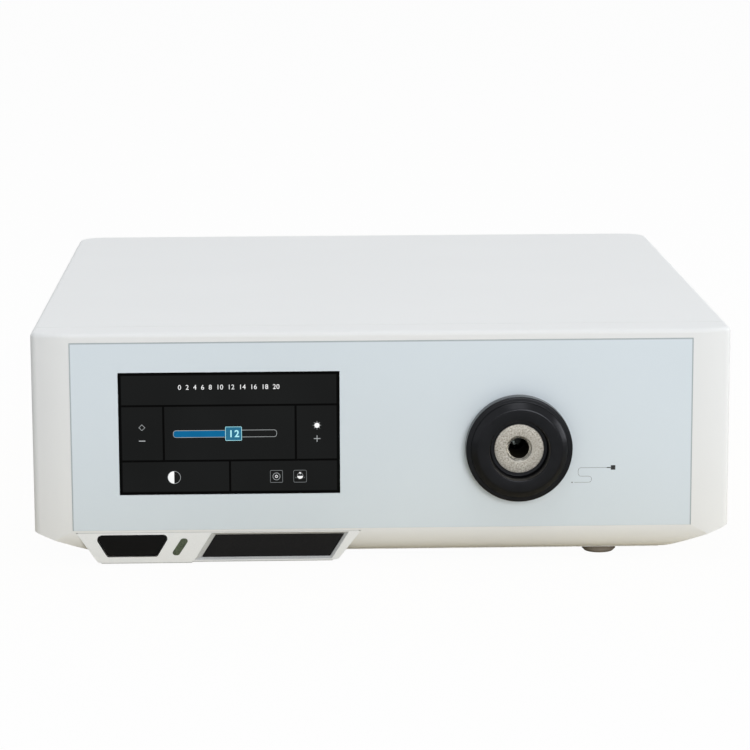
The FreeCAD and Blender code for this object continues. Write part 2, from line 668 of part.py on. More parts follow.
def pod_parts():
    pod = new_body("pod_housing")
    whole = pod_outline(sized(0), POD_BASE)
    extrude("Pad", pod, "XZ", (depth(POD_FRONT), depth(POD_BACK)), whole)
    step_top = POD_BASE + S.pod_step
    strip = rectangle(STEP_X, POD_BASE, POD_RIGHT, step_top)
    extrude("Pocket", pod, "XZ", (depth(POD_FRONT), depth(POD_BACK)), strip)
    soften(pod, "Fillet", S.pod_corner, lambda edge: on_corner(edge, whole[:1]))
    heel = (whole[1][0] + S.pod_slant_right / S.pod_height * S.pod_step, step_top)
    soften(pod, "Fillet", S.pod_bend, lambda edge: on_corner(edge, [heel]))
    sunk = plate_outline(0, 0, 0, 0, 0)
    rim = plate_outline(0, S.tray_left, S.tray_below, S.tray_right, S.tray_above)
    loft("SubtractiveLoft", pod, "XZ", [(-depth(POD_FRONT), rim), (-depth(PLATE_FACE), sunk)])
    bed = PLATE_FACE + S.plate_thick
    extrude("Pocket", pod, "XZ", (depth(PLATE_FACE), depth(bed)), sunk)
    lamp_hole = slanted(LAMP_X, LAMP_BASE, LAMP_TOP, S.lamp_width, LEAN)
    extrude("Pocket", pod, "XZ", (depth(POD_FRONT), depth(POD_BACK)), lamp_hole)
    soften(pod, "Fillet", S.lamp_corner, lambda edge: on_corner(edge, lamp_hole))
    key_hole = power_outline(S.fit_gap)
    extrude("Pocket", pod, "XZ", (depth(POD_FRONT), depth(POD_BACK)), key_hole)
    soften(pod, "Fillet", S.power_corner + S.fit_gap, lambda edge: on_corner(edge, key_hole))
    shoulder = KEY_BACK - S.power_flange - S.slide_gap * 2
    flange_hole = power_outline(S.power_flange + S.fit_gap)
    extrude("Pocket", pod, "XZ", (depth(shoulder), depth(POD_BACK)), flange_hole)
    node(pod, "pod_housing")

    key = new_body("power_button")
    key_front = depth(POD_FRONT - S.fit_gap)
    face = power_outline(sized(0))
    extrude("Pad", key, "XZ", (key_front, depth(KEY_BACK)), face)
    soften(key, "Fillet", S.power_corner, lambda edge: on_corner(edge, face))
    soften(key, "Chamfer", S.fit_gap, lambda edge: near(edge.BoundBox.YMax, key_front))
    collar = (depth(KEY_BACK - S.power_flange), depth(KEY_BACK))
    extrude("Pad", key, "XZ", collar, power_outline(S.power_flange))
    node(key, "power_button")

    lamp = new_body("status_lens")
    gap = S.fit_gap
    outline = slanted(LAMP_X - gap * LEAN, LAMP_BASE + gap, LAMP_TOP - gap, S.lamp_width - 2 * gap, LEAN)
    extrude("Pad", lamp, "XZ", (depth(POD_FRONT), depth(POD_BACK)), outline)
    soften(lamp, "Fillet", S.lamp_corner - gap, lambda edge: on_corner(edge, outline))
    node(lamp, "status_lens")

    plate = new_body("name_plate")
    blank = plate_outline(gap / 2, 0, 0, 0, 0)
    extrude("Pad", plate, "XZ", (depth(PLATE_FACE), depth(bed)), blank)
    soften(plate, "Fillet", S.plate_corner, lambda edge: on_corner(edge, blank))
    node(plate, "name_plate")

    board_low = FLOOR + S.fit_gap
    board_high = POD_BASE + S.pod_height + S.power_height
    left, right = POWER_X - S.power_width / 3, LAMP_X + S.lamp_width
    board = block(
        "board", (left, depth(POD_BACK), board_low), (right, depth(POD_BACK + S.board_thick), board_high)
    )
    button_half = S.tact_side / 2
    key_z = board_low + button_half
    button = block(
        "tact_body", (POWER_X - button_half, depth(POD_BACK - S.fit_gap * 4), board_low),
        (POWER_X + button_half, depth(POD_BACK), board_low + button_half * 2),
    )
    stem_length = POD_BACK - KEY_BACK - S.power_travel - S.fit_gap
    stem = rod("tact_stem", "y", (POWER_X, depth(POD_BACK - stem_length), key_z), stem_length, S.screw_radius)
    node(joined("Part::MultiFuse", "button_board", [board, button, stem]), "button_board")


# ---------------------------------------------------------------- light guide port
def port_body(label):
    return new_body(label, PORT_X, FRONT, PORT_Z)


def port_collar():
    """Turned black collar: flange and sloping shoulder outside, threaded spigot inside."""
    collar = port_body("port_collar")
    rim = S.guide_lead_in
    throat = S.throat_depth - S.collar_reach
    seat = S.adapter_head + S.fit_gap
    shoulder = S.collar_flange - S.flange_step
    face = shoulder - S.shoulder_run
    revolve(collar, [
        (-S.collar_reach, S.collar_mouth), (throat, S.collar_throat), (throat, seat), (S.adapter_seat, seat),
        (S.adapter_seat, S.adapter_shank + S.slide_gap), (S.spigot_length, S.adapter_shank + S.slide_gap),
        (S.spigot_length, S.spigot_radius), (0, S.spigot_radius), (0, S.collar_flange),
        (rim - S.flange_thick, S.collar_flange), (-S.flange_thick, S.collar_flange - rim),
        (-S.flange_thick, shoulder), (-(S.flange_thick + S.collar_reach) / 2, shoulder - S.shoulder_drop),
        (rim - S.collar_reach, face), (-S.collar_reach, face - rim),
    ])
    node(collar, "port_collar")


def collar_nut():
    """Slotted ring nut that clamps the collar to the bezel wall."""
    nut = port_body("collar_nut")
    span = (BEZEL_BACK, BEZEL_BACK + S.nut_thick)
    bore = S.spigot_radius + S.fit_gap / 2
    extrude("Pad", nut, "XZ", span, Circle(0, 0, S.nut_radius), Circle(0, 0, bore))
    half = S.nut_thick / 2
    notch = rectangle(-half, S.nut_radius - half, half, S.nut_radius + S.fit_gap)
    cut = extrude("Pocket", nut, "XZ", span, notch)
    around(nut, cut, 4)
    node(nut, "collar_nut")


def light_guide_adapter():
    """Steel insert whose bore takes the light guide's plug."""
    adapter = port_body("light_guide_adapter")
    face, bevel = -S.adapter_proud, S.guide_lead_in
    rounding = S.fit_gap
    revolve(adapter, [
        (face, S.guide_bore + bevel), (face + bevel, S.guide_bore), (S.adapter_length, S.guide_bore),
        (S.adapter_length, S.adapter_shank), (S.adapter_seat, S.adapter_shank),
        (S.adapter_seat, S.adapter_head), (face + rounding, S.adapter_head),
        (face, S.adapter_head - rounding),
    ])
    node(adapter, "light_guide_adapter")


# ---------------------------------------------------------------- LED engine
BARREL_BACK = S.barrel_front + S.barrel_length
SINK_FRONT = BARREL_BACK + S.engine_plate
FIN_BACK = SINK_FRONT + S.sink_base + S.fin_length
LENS_RADIUS = S.barrel_radius - S.barrel_wall - S.fit_gap


def lens(label, flat, edge, side):
    """A plano-convex lens: a flat face, a plain edge and a dome that bulges to one side."""
    dome = (LENS_RADIUS * LENS_RADIUS + S.lens_sag * S.lens_sag) / (2 * S.lens_sag)
    tip = edge + side * S.lens_sag
    ball = doc.addObject("Part::Sphere", label + "_dome")
    bind(ball, "Radius", dome)
    place(ball, PORT_X, depth(tip - side * dome), PORT_Z)
    low, high = (flat, tip) if side > 0 else (tip, flat)
    disc = rod(label + "_disc", "y", (PORT_X, depth(low), PORT_Z), high - low, LENS_RADIUS)
    node(joined("Part::MultiCommon", label, [ball, disc]), label)


def optics():
    """Barrel with two condenser lenses, a spacer between them and a keeper ring."""
    bore = S.barrel_radius - S.barrel_wall
    front, lip = S.barrel_front, S.barrel_front + S.barrel_lip
    flange = S.barrel_radius + S.barrel_foot
    barrel = port_body("lens_barrel")
    revolve(barrel, [
        (front, bore - S.barrel_wall), (lip, bore - S.barrel_wall), (lip, bore), (BARREL_BACK, bore),
        (BARREL_BACK, flange), (BARREL_BACK - S.barrel_wall, flange),
        (BARREL_BACK - S.barrel_wall, S.barrel_radius), (front, S.barrel_radius),
    ])
    node(barrel, "lens_barrel")
    edge = lip + S.lens_edge
    rear_edge = edge + S.lens_space
    rear_flat = rear_edge + S.lens_edge
    lens("front_lens", lip, edge, 1)
    lens("rear_lens", rear_flat, rear_edge, -1)
    spacer = port_body("lens_spacer")
    thin = LENS_RADIUS - S.barrel_lip
    dome = (LENS_RADIUS * LENS_RADIUS + S.lens_sag * S.lens_sag) / (2 * S.lens_sag)
    rise = root(dome * dome - thin * thin) + S.lens_sag - dome
    revolve(spacer, rectangle(edge + rise, thin, rear_edge - rise, LENS_RADIUS))
    node(spacer, "lens_spacer")
    keeper = port_body("lens_keeper")
    revolve(keeper, rectangle(rear_flat, thin, rear_flat + S.keeper_thick, LENS_RADIUS))
    node(keeper, "lens_keeper")


def engine_bracket():
    """Angle bracket that stands on the chassis and carries barrel, LED and heat sink."""
    bracket = new_body("engine_bracket", PORT_X, FRONT, PORT_Z)
    half, foot = S.engine_half, CHASSIS - PORT_Z
    board = S.led_side / 2 + S.fit_gap
    plate = rectangle(-half, foot, half, half)
    extrude("Pad", bracket, "XZ", (BARREL_BACK, SINK_FRONT), plate, Circle(0, 0, S.led_window))
    channel = rectangle(-half, -S.thin_wire_radius * 2, S.fit_gap - board, S.thin_wire_radius * 2)
    extrude("Pocket", bracket, "XZ", (SINK_FRONT - S.barrel_lip, SINK_FRONT), square(board))
    extrude("Pocket", bracket, "XZ", (SINK_FRONT - S.barrel_lip, SINK_FRONT), channel)
    toe = rectangle(-half, BARREL_BACK - S.engine_foot, half, BARREL_BACK)
    holes = screw_holes([(x - PORT_X, y - FRONT) for x, y in toe_places()])
    extrude("Pad", bracket, "XY", (foot, foot + S.engine_plate / 2), toe, *holes)
    rib = [
        (BARREL_BACK - S.rib_reach, foot + S.engine_plate / 2), (BARREL_BACK, foot + S.engine_plate / 2),
        (BARREL_BACK, foot + S.engine_foot),
    ]
    for side in (-1, 1):
        middle = side * (half - S.engine_plate)
        extrude("Pad", bracket, "YZ", (middle - S.engine_plate / 3, middle + S.engine_plate / 3), rib)
    node(bracket, "engine_bracket")
    toe_top = CHASSIS + S.engine_plate / 2
    grip = S.engine_plate / 2 + S.chassis_thick
    screws("engine_screws", [screw((x, y, toe_top), grip, "z") for x, y in toe_places()])


def toe_places():
    """Where the bracket's toe is screwed to the chassis plate."""
    return [(PORT_X + side * S.toe_spread, depth(BARREL_BACK - S.toe_reach)) for side in (-1, 1)]


def led_parts():
    board = port_body("led_board")
    extrude("Pad", board, "XZ", (SINK_FRONT - S.barrel_lip, SINK_FRONT), square(S.led_side / 2, S.screw_head))
    node(board, "led_board")
    emitter = port_body("led_emitter")
    back = SINK_FRONT - S.barrel_lip
    package = back - S.led_dome / 4
    extrude("Pad", emitter, "XZ", (package, back), square(S.led_package / 2))
    lens = [(package - S.led_dome / 2, 0), (back, 0), (back, S.led_dome), (package, S.led_dome)]
    revolve(emitter, lens)
    node(emitter, "led_emitter")


def heat_sink():
    """Extruded sink: a base plate and a row of upright fins."""
    sink = port_body("heat_sink")
    base_back = SINK_FRONT + S.sink_base
    extrude("Pad", sink, "XZ", (SINK_FRONT, base_back), square(S.sink_half))
    fin = rectangle(-S.sink_half, -S.sink_half, S.fin_thick - S.sink_half, sized(S.sink_half))
    first = extrude("Pad", sink, "XZ", (base_back, FIN_BACK), fin)
    repeat(sink, first, "X_Axis", 2 * S.sink_half - S.fin_thick, S.fin_count)
    node(sink, "heat_sink")


# ---------------------------------------------------------------- fans
FAN_BORE = S.fan_side / 2 - S.fan_wall
FAN_HOLES = S.fan_side - 2 * S.fan_hole_inset
REAR_FAN_Z = WINDOW_Z


def blade_section():
    """Section of a fan blade: a thin bent strip that climbs from one side to the other."""
    reach = S.fan_hub * S.blade_share
    low, high = S.fan_base + S.blade_gap * 2, S.fan_thick - S.blade_gap
    rise = high - low - S.blade_gap * 2
    middle = (low + high) / 2
    slim = S.blade_thick / 2
    bend = FAN_BORE
    return [
        (slim - reach, middle - rise / 2 - slim, bend), (reach + slim, middle + rise / 2 - slim),
        (reach - slim, middle + rise / 2 + slim, -bend), (-reach - slim, middle - rise / 2 + slim),
    ]


def fan(prefix, x, y, z):
    """Axial fan: a square frame with a motor seat on four struts, and a bladed rotor."""
    half = S.fan_side / 2
    seat = S.fan_hub + S.blade_gap / 2
    frame = new_body(prefix + "_frame", x, y, z)
    hole = FAN_HOLES / 2
    holes = [Circle(place_x, place_z, S.screw_radius + S.fit_gap) for place_x, place_z in fan_holes(0, 0)]
    outline = square(half, half - hole)
    extrude("Pad", frame, "XZ", (0, S.fan_thick), outline, Circle(0, 0, FAN_BORE), *holes)
    bore = Circle(0, 0, S.fan_spindle + S.slide_gap)
    extrude("Pad", frame, "XZ", (0, S.fan_base), Circle(0, 0, seat), bore)
    arm = rectangle(-S.fan_base / 2, seat - S.blade_gap, S.fan_base / 2, FAN_BORE + S.blade_gap / 2)
    strut = extrude("Pad", frame, "XZ", (0, S.fan_base), arm)
    around(frame, strut, 4)
    node(frame, prefix + "_frame")

    rotor = new_body(prefix + "_rotor", x, y, z)
    hub_front = S.fan_base + S.blade_gap / 2
    hub_back = S.fan_thick - S.blade_gap
    cap = S.blade_thick
    revolve(rotor, [
        (S.slide_gap, 0), (hub_back, 0), (hub_back, S.fan_hub - cap), (hub_back - cap, S.fan_hub),
        (hub_front, S.fan_hub), (hub_front, S.fan_spindle), (S.slide_gap, S.fan_spindle),
    ])
    blade_span = (S.fan_hub - S.blade_thick, FAN_BORE - 2 * S.blade_gap)
    blade = extrude("Pad", rotor, "XY", blade_span, blade_section())
    around(rotor, blade, S.blade_count)
    node(rotor, prefix + "_rotor")


# ---------------------------------------------------------------- screws and feet
def screw(point, grip, axis="y", sign=1):
    """A pan head screw: the head stands on a face, the shank grips a depth below it."""
    turn = "xyz".index(axis)
    low_head, low_shank = list(point), list(point)
    if sign > 0:
        low_shank[turn] = sized(point[turn]) - grip
    else:
        low_head[turn] = sized(point[turn]) - S.screw_head_thick
    head = rod("screw_head", axis, low_head, S.screw_head_thick, S.screw_head)
    shank = rod("screw_shank", axis, low_shank, grip, S.screw_radius)
    return joined("Part::MultiFuse", "screw", [head, shank])


def screws(label, solids):
    node(joined("Part::Compound", label, solids), label)


def foot_places():
    return [
        (side * FOOT_X, place_y) for side in (-1, 1)
        for place_y in (depth(S.foot_setback), REAR - S.foot_back)
    ]


def feet():
    """Rubber feet with a chamfered lower edge, under the tray."""
    for number, (x, y) in enumerate(foot_places(), 1):
        foot = new_body("foot_%d" % number, x, y, 0)
        profile = [
            (0, 0), (S.foot_radius - S.foot_bevel, 0), (S.foot_radius, S.foot_bevel),
            (S.foot_radius, BASE), (0, BASE),
        ]
        feature_sketch = new_sketch(foot, "XZ", 0, [profile])
        turned = foot.newObject("PartDesign::Revolution", foot.Name + "_turned")
        turned.Profile = feature_sketch
        turned.ReferenceAxis = (feature_sketch, ["V_Axis"])
        turned.Angle = 360
        node(foot, ("foot_front_left", "foot_rear_left", "foot_front_right", "foot_rear_right")[number - 1])


# ---------------------------------------------------------------- chassis, supply and driver
def chassis_plate():
    plate = new_body("chassis_plate")
    back = PLATE_FRONT - S.fit_gap
    outline = casing_plan(CHASSIS_HALF, depth(S.chassis_front), back, S.rear_round - S.shell_wall)
    extrude("Pad", plate, "XY", (FLOOR, CHASSIS), outline, *screw_holes(toe_places()))
    node(plate, "chassis_plate")


def terminal_bar(name, left, low_y, low):
    """A row of screw terminals on the supply's board."""
    right = left + S.supply_width - 2 * S.terminal_inset
    bar = new_body(name)
    row = rectangle(left, low_y, right, low_y + S.terminal_depth)
    extrude("Pad", bar, "XY", (low, low + S.terminal_height), row)
    pitch = (right - left) / S.terminal_count
    middle = low_y + S.terminal_depth / 2
    cell = centred(left + pitch / 2, middle, pitch - S.terminal_wall, S.terminal_depth / 2)
    cut = extrude("Pocket", bar, "XY", (low + S.terminal_height / 2, low + S.terminal_height), cell)
    repeat(bar, cut, "X_Axis", pitch * (S.terminal_count - 1), S.terminal_count)
    return bar


def supply_parts():
    """Enclosed mains supply: folded case, slotted cover, board, and terminals at both ends."""
    left, right = SUPPLY_X - S.supply_width / 2, SUPPLY_X + S.supply_width / 2
    wall, top = S.supply_wall, CHASSIS + S.supply_height
    case = new_body("supply_case")
    extrude("Pad", case, "XZ", (SUPPLY_FRONT, SUPPLY_BACK), [
        (left, CHASSIS), (right, CHASSIS), (right, top - wall), (right - wall, top - wall),
        (right - wall, CHASSIS + wall), (left + wall, CHASSIS + wall), (left + wall, top - wall),
        (left, top - wall),
    ])
    node(case, "supply_case")
    cover = new_body("supply_cover")
    open_end = S.terminal_depth + S.fit_gap
    lid = rectangle(left, SUPPLY_FRONT + open_end, right, SUPPLY_BACK - open_end)
    extrude("Pad", cover, "XY", (top - wall, top), lid)
    first = SUPPLY_FRONT + open_end + S.supply_margin
    slot = rectangle(left + S.supply_margin, first, right - S.supply_margin, first + S.vent_width)
    cut = extrude("Pocket", cover, "XY", (top - wall, top), slot)
    reach = SUPPLY_BACK - open_end - S.supply_margin - S.vent_width - first
    repeat(cover, cut, "Y_Axis", reach, S.vent_count)
    node(cover, "supply_cover")
    board = new_body("supply_board")
    low = CHASSIS + wall + S.standoff_radius
    inner = (left + wall + S.fit_gap, SUPPLY_FRONT, right - wall - S.fit_gap, SUPPLY_BACK)
    extrude("Pad", board, "XY", (low, low + S.board_thick), rectangle(*inner))
    inset = S.standoff_radius * 2
    corners = [
        Circle(x, y, S.standoff_radius) for x in (inner[0] + inset, inner[2] - inset)
        for y in (SUPPLY_FRONT + inset, SUPPLY_BACK - inset)
    ]
    extrude("Pad", board, "XY", (CHASSIS + wall, low), *corners)
    middle = (SUPPLY_FRONT + SUPPLY_BACK) / 2
    part = S.supply_width / 6
    fin_x = SUPPLY_X + part * 2
    lumps = [
        rectangle(SUPPLY_X - part, middle - part, SUPPLY_X + part, middle + part),
        Circle(SUPPLY_X - part * 2, middle + part * 2, part / 2),
        Circle(SUPPLY_X, middle + part * 2, part / 2),
        rectangle(fin_x, middle - part * 2, fin_x + S.fin_thick, middle + part * 2),
    ]
    extrude("Pad", board, "XY", (low + S.board_thick, low + S.board_thick + S.supply_height / 2), *lumps)
    node(board, "supply_board")
    terminal_left, terminal_low = left + S.terminal_inset, low + S.board_thick
    bars = [
        terminal_bar("output_terminals", terminal_left, SUPPLY_FRONT, terminal_low),
        terminal_bar("mains_terminals", terminal_left, SUPPLY_BACK - S.terminal_depth, terminal_low),
    ]
    node(joined("Part::Compound", "supply_terminals", bars), "supply_terminals")


def driver_parts():
    """Current driver for the LED on standoffs, ahead of the supply."""
    left, right = DRIVER_X - S.driver_width / 2, DRIVER_X + S.driver_width / 2
    front = depth(S.driver_front)
    low = CHASSIS + S.driver_standoff
    inset = S.standoff_radius * 2
    corners = [(x, y) for x in (left + inset, right - inset) for y in (front + inset, DRIVER_BACK - inset)]
    posts = [
        rod("driver_post", "z", (x, y, CHASSIS), S.driver_standoff, S.standoff_radius) for x, y in corners
    ]
    node(joined("Part::Compound", "driver_standoffs", posts), "driver_standoffs")
    board = new_body("driver_board")
    plan = rectangle(left, front, right, DRIVER_BACK, S.standoff_radius)
    extrude("Pad", board, "XY", (low, low + S.board_thick), plan)
    top = low + S.board_thick
    part = S.driver_width / 8
    coils = [Circle(DRIVER_X + part * step, front + part * 3, part) for step in (-2, 1)]
    extrude("Pad", board, "XY", (top, top + part), *coils)
    sink = rectangle(left + part, DRIVER_BACK - part * 2, right - part, DRIVER_BACK - part * 3 / 2)
    cans = [Circle(DRIVER_X + part * step, front + part * 5, part / 2) for step in (-2, 0, 2)]
    extrude("Pad", board, "XY", (top, top + part * 2), sink, *cans)
    node(board, "driver_board")


# ---------------------------------------------------------------- rear
INLET_Z = WINDOW_Z
INLET_WIDTH = S.socket_width + 2 * S.socket_wall
SOCKET_Z = INLET_Z - S.inlet_height / 2 + S.socket_height / 2 + S.shell_wall
ROCKER_Z = INLET_Z + S.inlet_height / 2 - S.rocker_height / 2 - S.shell_wall
DRAWER_Z = (SOCKET_Z + S.socket_height / 2 + ROCKER_Z - S.rocker_height / 2) / 2


def rear_panel():
    """Steel plate behind the rear frame, with a fan grille and the inlet's cut-out."""
    panel = new_body("rear_panel")
    half = HALF - S.rear_round - S.plate_margin
    low_half = FLOOR_HALF + SLOPE * S.chassis_thick - S.rear_round + S.shell_wall - S.fit_gap
    knee, top = CHASSIS + (half - low_half) / SLOPE, TOP - S.plate_drop
    edge = [(-low_half, CHASSIS), (low_half, CHASSIS), (half, knee), (half, top), (-half, top), (-half, knee)]
    holes = screw_holes(cover_places() + rear_fan_places() + inlet_screw_places())
    inlet = centred(INLET_X, INLET_Z, INLET_WIDTH + S.fit_gap, S.inlet_height + S.fit_gap)
    stud = Circle(STUD_X, STUD_Z, S.stud_radius + S.fit_gap / 2)
    slots = []
    reach = FAN_BORE - S.blade_gap * 2
    pitch = (2 * (FAN_BORE - S.grille_margin) - S.grille_slot) / (S.grille_count - 1)
    middle = (SIZES["grille_count"] - 1) / 2
    for number in range(SIZES["grille_count"]):
        across = pitch * (number - middle)
        outer = across + S.grille_slot / 2 if number >= middle else across - S.grille_slot / 2
        up = root(reach * reach - outer * outer)
        x = REAR_FAN_X + across
        slots.append(centred(x, REAR_FAN_Z, S.grille_slot, up * 2))
    extrude("Pad", panel, "XZ", (PLATE_FRONT, PLATE_BACK), edge, inlet, stud, *holes, *slots)
    node(panel, "rear_panel")
    grip = S.shell_wall + S.rear_plate
    screws("cover_screws", [screw((x, REAR, z), grip) for x, z in cover_places()])


def fan_holes(x, z):
    reach = FAN_HOLES / 2
    return [(x + side * reach, z + rise * reach) for side in (-1, 1) for rise in (-1, 1)]


def rear_fan_places():
    return fan_holes(REAR_FAN_X, REAR_FAN_Z)


def fan_screws():
    """Screws that hold the rear fan to the rear panel and the other fan to the fins."""
    rear = [screw((x, PLATE_BACK, z), S.fan_screw_length) for x, z in rear_fan_places()]
    back = depth(FIN_BACK) + S.fan_thick
    sink = [screw((x, back, z), S.fan_thick) for x, z in fan_holes(PORT_X, PORT_Z)]
    screws("fan_screws", rear + sink)


def inlet_screw_places():
    across = (S.inlet_flange_width + INLET_WIDTH) / 4
    return [(INLET_X + side * across, INLET_Z) for side in (-1, 1)]


def inlet_parts():
    """Combined mains inlet: socket below, fuse drawer in the middle, rocker switch on top."""
    x, half = INLET_X, S.socket_width / 2
    flange_back = PLATE_BACK + S.inlet_flange
    body = new_body("inlet_body")
    flange = centred(x, INLET_Z, S.inlet_flange_width, S.inlet_height + 2 * S.inlet_lap, S.shell_wall)
    extrude("Pad", body, "XZ", (PLATE_BACK, flange_back), flange, *screw_holes(inlet_screw_places()))
    extrude("Pad", body, "XZ", (INLET_FRONT, PLATE_BACK), centred(x, INLET_Z, INLET_WIDTH, S.inlet_height))
    key = S.socket_height / 3
    low, high = SOCKET_Z - S.socket_height / 2, SOCKET_Z + S.socket_height / 2
    socket = [(x - half, low), (x + half, low), (x + half, high - key), (x + half - key, high),
              (x - half + key, high), (x - half, high - key)]
    extrude("Pocket", body, "XZ", (flange_back - S.socket_depth, flange_back), socket)
    gap = S.fit_gap
    drawer = centred(x, DRAWER_Z, S.rocker_width + 2 * gap, S.drawer_height + 2 * gap)
    drawer_depth = S.fuse_length + 2 * (S.drawer_front + gap)
    extrude("Pocket", body, "XZ", (flange_back - drawer_depth - gap, flange_back), drawer)
    rocker = centred(x, ROCKER_Z, S.rocker_width + 2 * gap, S.rocker_height + 2 * gap)
    extrude("Pocket", body, "XZ", (flange_back - S.socket_depth, flange_back), rocker)
    swing = S.rocker_height / 2
    pivot_y = flange_back - swing / 3
    pivot_half = S.rocker_width / 2 + S.pivot_reach
    seat = Circle(pivot_y, ROCKER_Z, S.pivot_radius + S.slide_gap)
    extrude("Pocket", body, "YZ", (x - pivot_half - gap, x + pivot_half + gap), seat)
    node(body, "inlet_body")

    pins = []
    start = flange_back - S.socket_depth
    length = S.socket_depth - S.pin_sink
    wide, thin = S.pin_width / 2, S.pin_thick / 2
    for side, rise in ((-1, -1), (1, -1), (0, 1)):
        pin_x, pin_z = x + side * S.pin_pitch, SOCKET_Z + rise * S.pin_rise
        pins.append(block(
            "pin", (pin_x - thin, start, pin_z - wide), (pin_x + thin, start + length, pin_z + wide)
        ))
    node(joined("Part::Compound", "inlet_pins", pins), "inlet_pins")

    # The rocker's outline in shares of its swing: flat back, two slopes in front that meet at the pivot.
    rocker = new_body("rocker_switch", x, pivot_y, ROCKER_Z)
    profile = [
        (-swing * 1.2, -swing / 2), (swing * 0.6, -swing * 0.8), (swing * 0.27, 0),
        (swing * 0.18, swing * 0.95), (-swing * 0.4, swing * 0.9), (-swing * 1.2, swing / 2),
    ]
    extrude("Pad", rocker, "YZ", (-S.rocker_width / 2, S.rocker_width / 2), profile)
    extrude("Pad", rocker, "YZ", (-pivot_half, pivot_half), Circle(0, 0, S.pivot_radius))
    node(rocker, "rocker_switch")

    front_half = S.rocker_width / 2
    drawer = new_body("fuse_drawer", x, flange_back, DRAWER_Z)
    up = S.drawer_height / 2
    extrude("Pad", drawer, "XZ", (-drawer_depth, 0), rectangle(-front_half, -up, front_half, up))
    well_half = front_half - S.drawer_wall
    well = rectangle(-well_half, S.drawer_front - drawer_depth, well_half, -S.drawer_front)
    extrude("Pocket", drawer, "XY", (S.drawer_floor - up, up), well)
    node(drawer, "fuse_drawer")
    fuses = [
        rod(
            "fuse", "y",
            (x + side * S.fuse_spread, flange_back - S.drawer_front - gap - S.fuse_length,
             DRAWER_Z - up + S.drawer_floor + S.fuse_radius),
            S.fuse_length, S.fuse_radius,
        ) for side in (-1, 1)
    ]
    node(joined("Part::Compound", "fuses", fuses), "fuses")
    grip = S.inlet_flange + S.rear_plate
    screws("inlet_screws", [screw((x, flange_back, z), grip) for x, z in inlet_screw_places()])


def earth_stud():
    """Potential equalisation stud: a plain pin, a collar outside and a nut inside."""
    stud = new_body("equipotential_stud", STUD_X, PLATE_BACK, STUD_Z)
    tail = -S.rear_plate - S.stud_nut_thick * 2
    reach = S.shell_wall + S.stud_reach
    bevel = S.stud_radius / 4
    revolve(stud, [
        (tail, 0), (reach, 0), (reach, S.stud_radius - bevel), (reach - bevel, S.stud_radius),
        (S.stud_nut_thick, S.stud_radius), (S.stud_nut_thick, S.stud_nut), (0, S.stud_nut),
        (0, S.stud_radius), (tail, S.stud_radius),
    ])
    node(stud, "equipotential_stud")
    nut = new_body("stud_nut", STUD_X, PLATE_FRONT, STUD_Z)
    across = S.stud_nut * math.sqrt(3) / 2
    hexagon = [
        (-S.stud_nut, 0), (S.stud_nut / -2, -across), (S.stud_nut / 2, -across),
        (S.stud_nut, 0), (S.stud_nut / 2, across), (S.stud_nut / -2, across),
    ]
    bore = Circle(0, 0, S.stud_radius + S.slide_gap)
    extrude("Pad", nut, "XZ", (-S.stud_nut_thick, 0), hexagon, bore)
    node(nut, "stud_nut")


# ---------------------------------------------------------------- leads inside the casing
BEND_SHARE = 0.45


def tube(points, radius):
    """A lead's solid: straight runs joined by arcs that touch both runs."""
    corners = [FreeCAD.Vector(*[sized(value).number for value in point]) for point in points]
    edges, start = [], corners[0]
    for before, corner, after in zip(corners, corners[1:], corners[2:]):
        back, ahead = (before - corner).normalize(), (after - corner).normalize()
        trim = BEND_SHARE * min((before - corner).Length, (after - corner).Length)
        first, last = corner + back * trim, corner + ahead * trim
        turn = math.pi - back.getAngle(ahead)
        bend = trim / math.tan(turn / 2)
        middle = corner + (back + ahead).normalize() * (bend / math.cos(turn / 2) - bend)
        edges += [Part.LineSegment(start, first).toShape(), Part.Arc(first, middle, last).toShape()]
        start = last
    edges.append(Part.LineSegment(start, corners[-1]).toShape())
    ring = Part.Wire([Part.Circle(corners[0], corners[1] - corners[0], radius.number).toShape()])
    return Part.Wire(edges).makePipeShell([ring], True, False)


def lead(label, *routes):
    """One or more leads, each a radius and its points, read from the sheet's sizes."""
    solids = [tube(points, radius) for radius, points in routes]
    obj = doc.addObject("Part::Feature", label)
    obj.Shape = solids[0] if len(solids) == 1 else Part.Compound(solids)
    return node(obj, label)


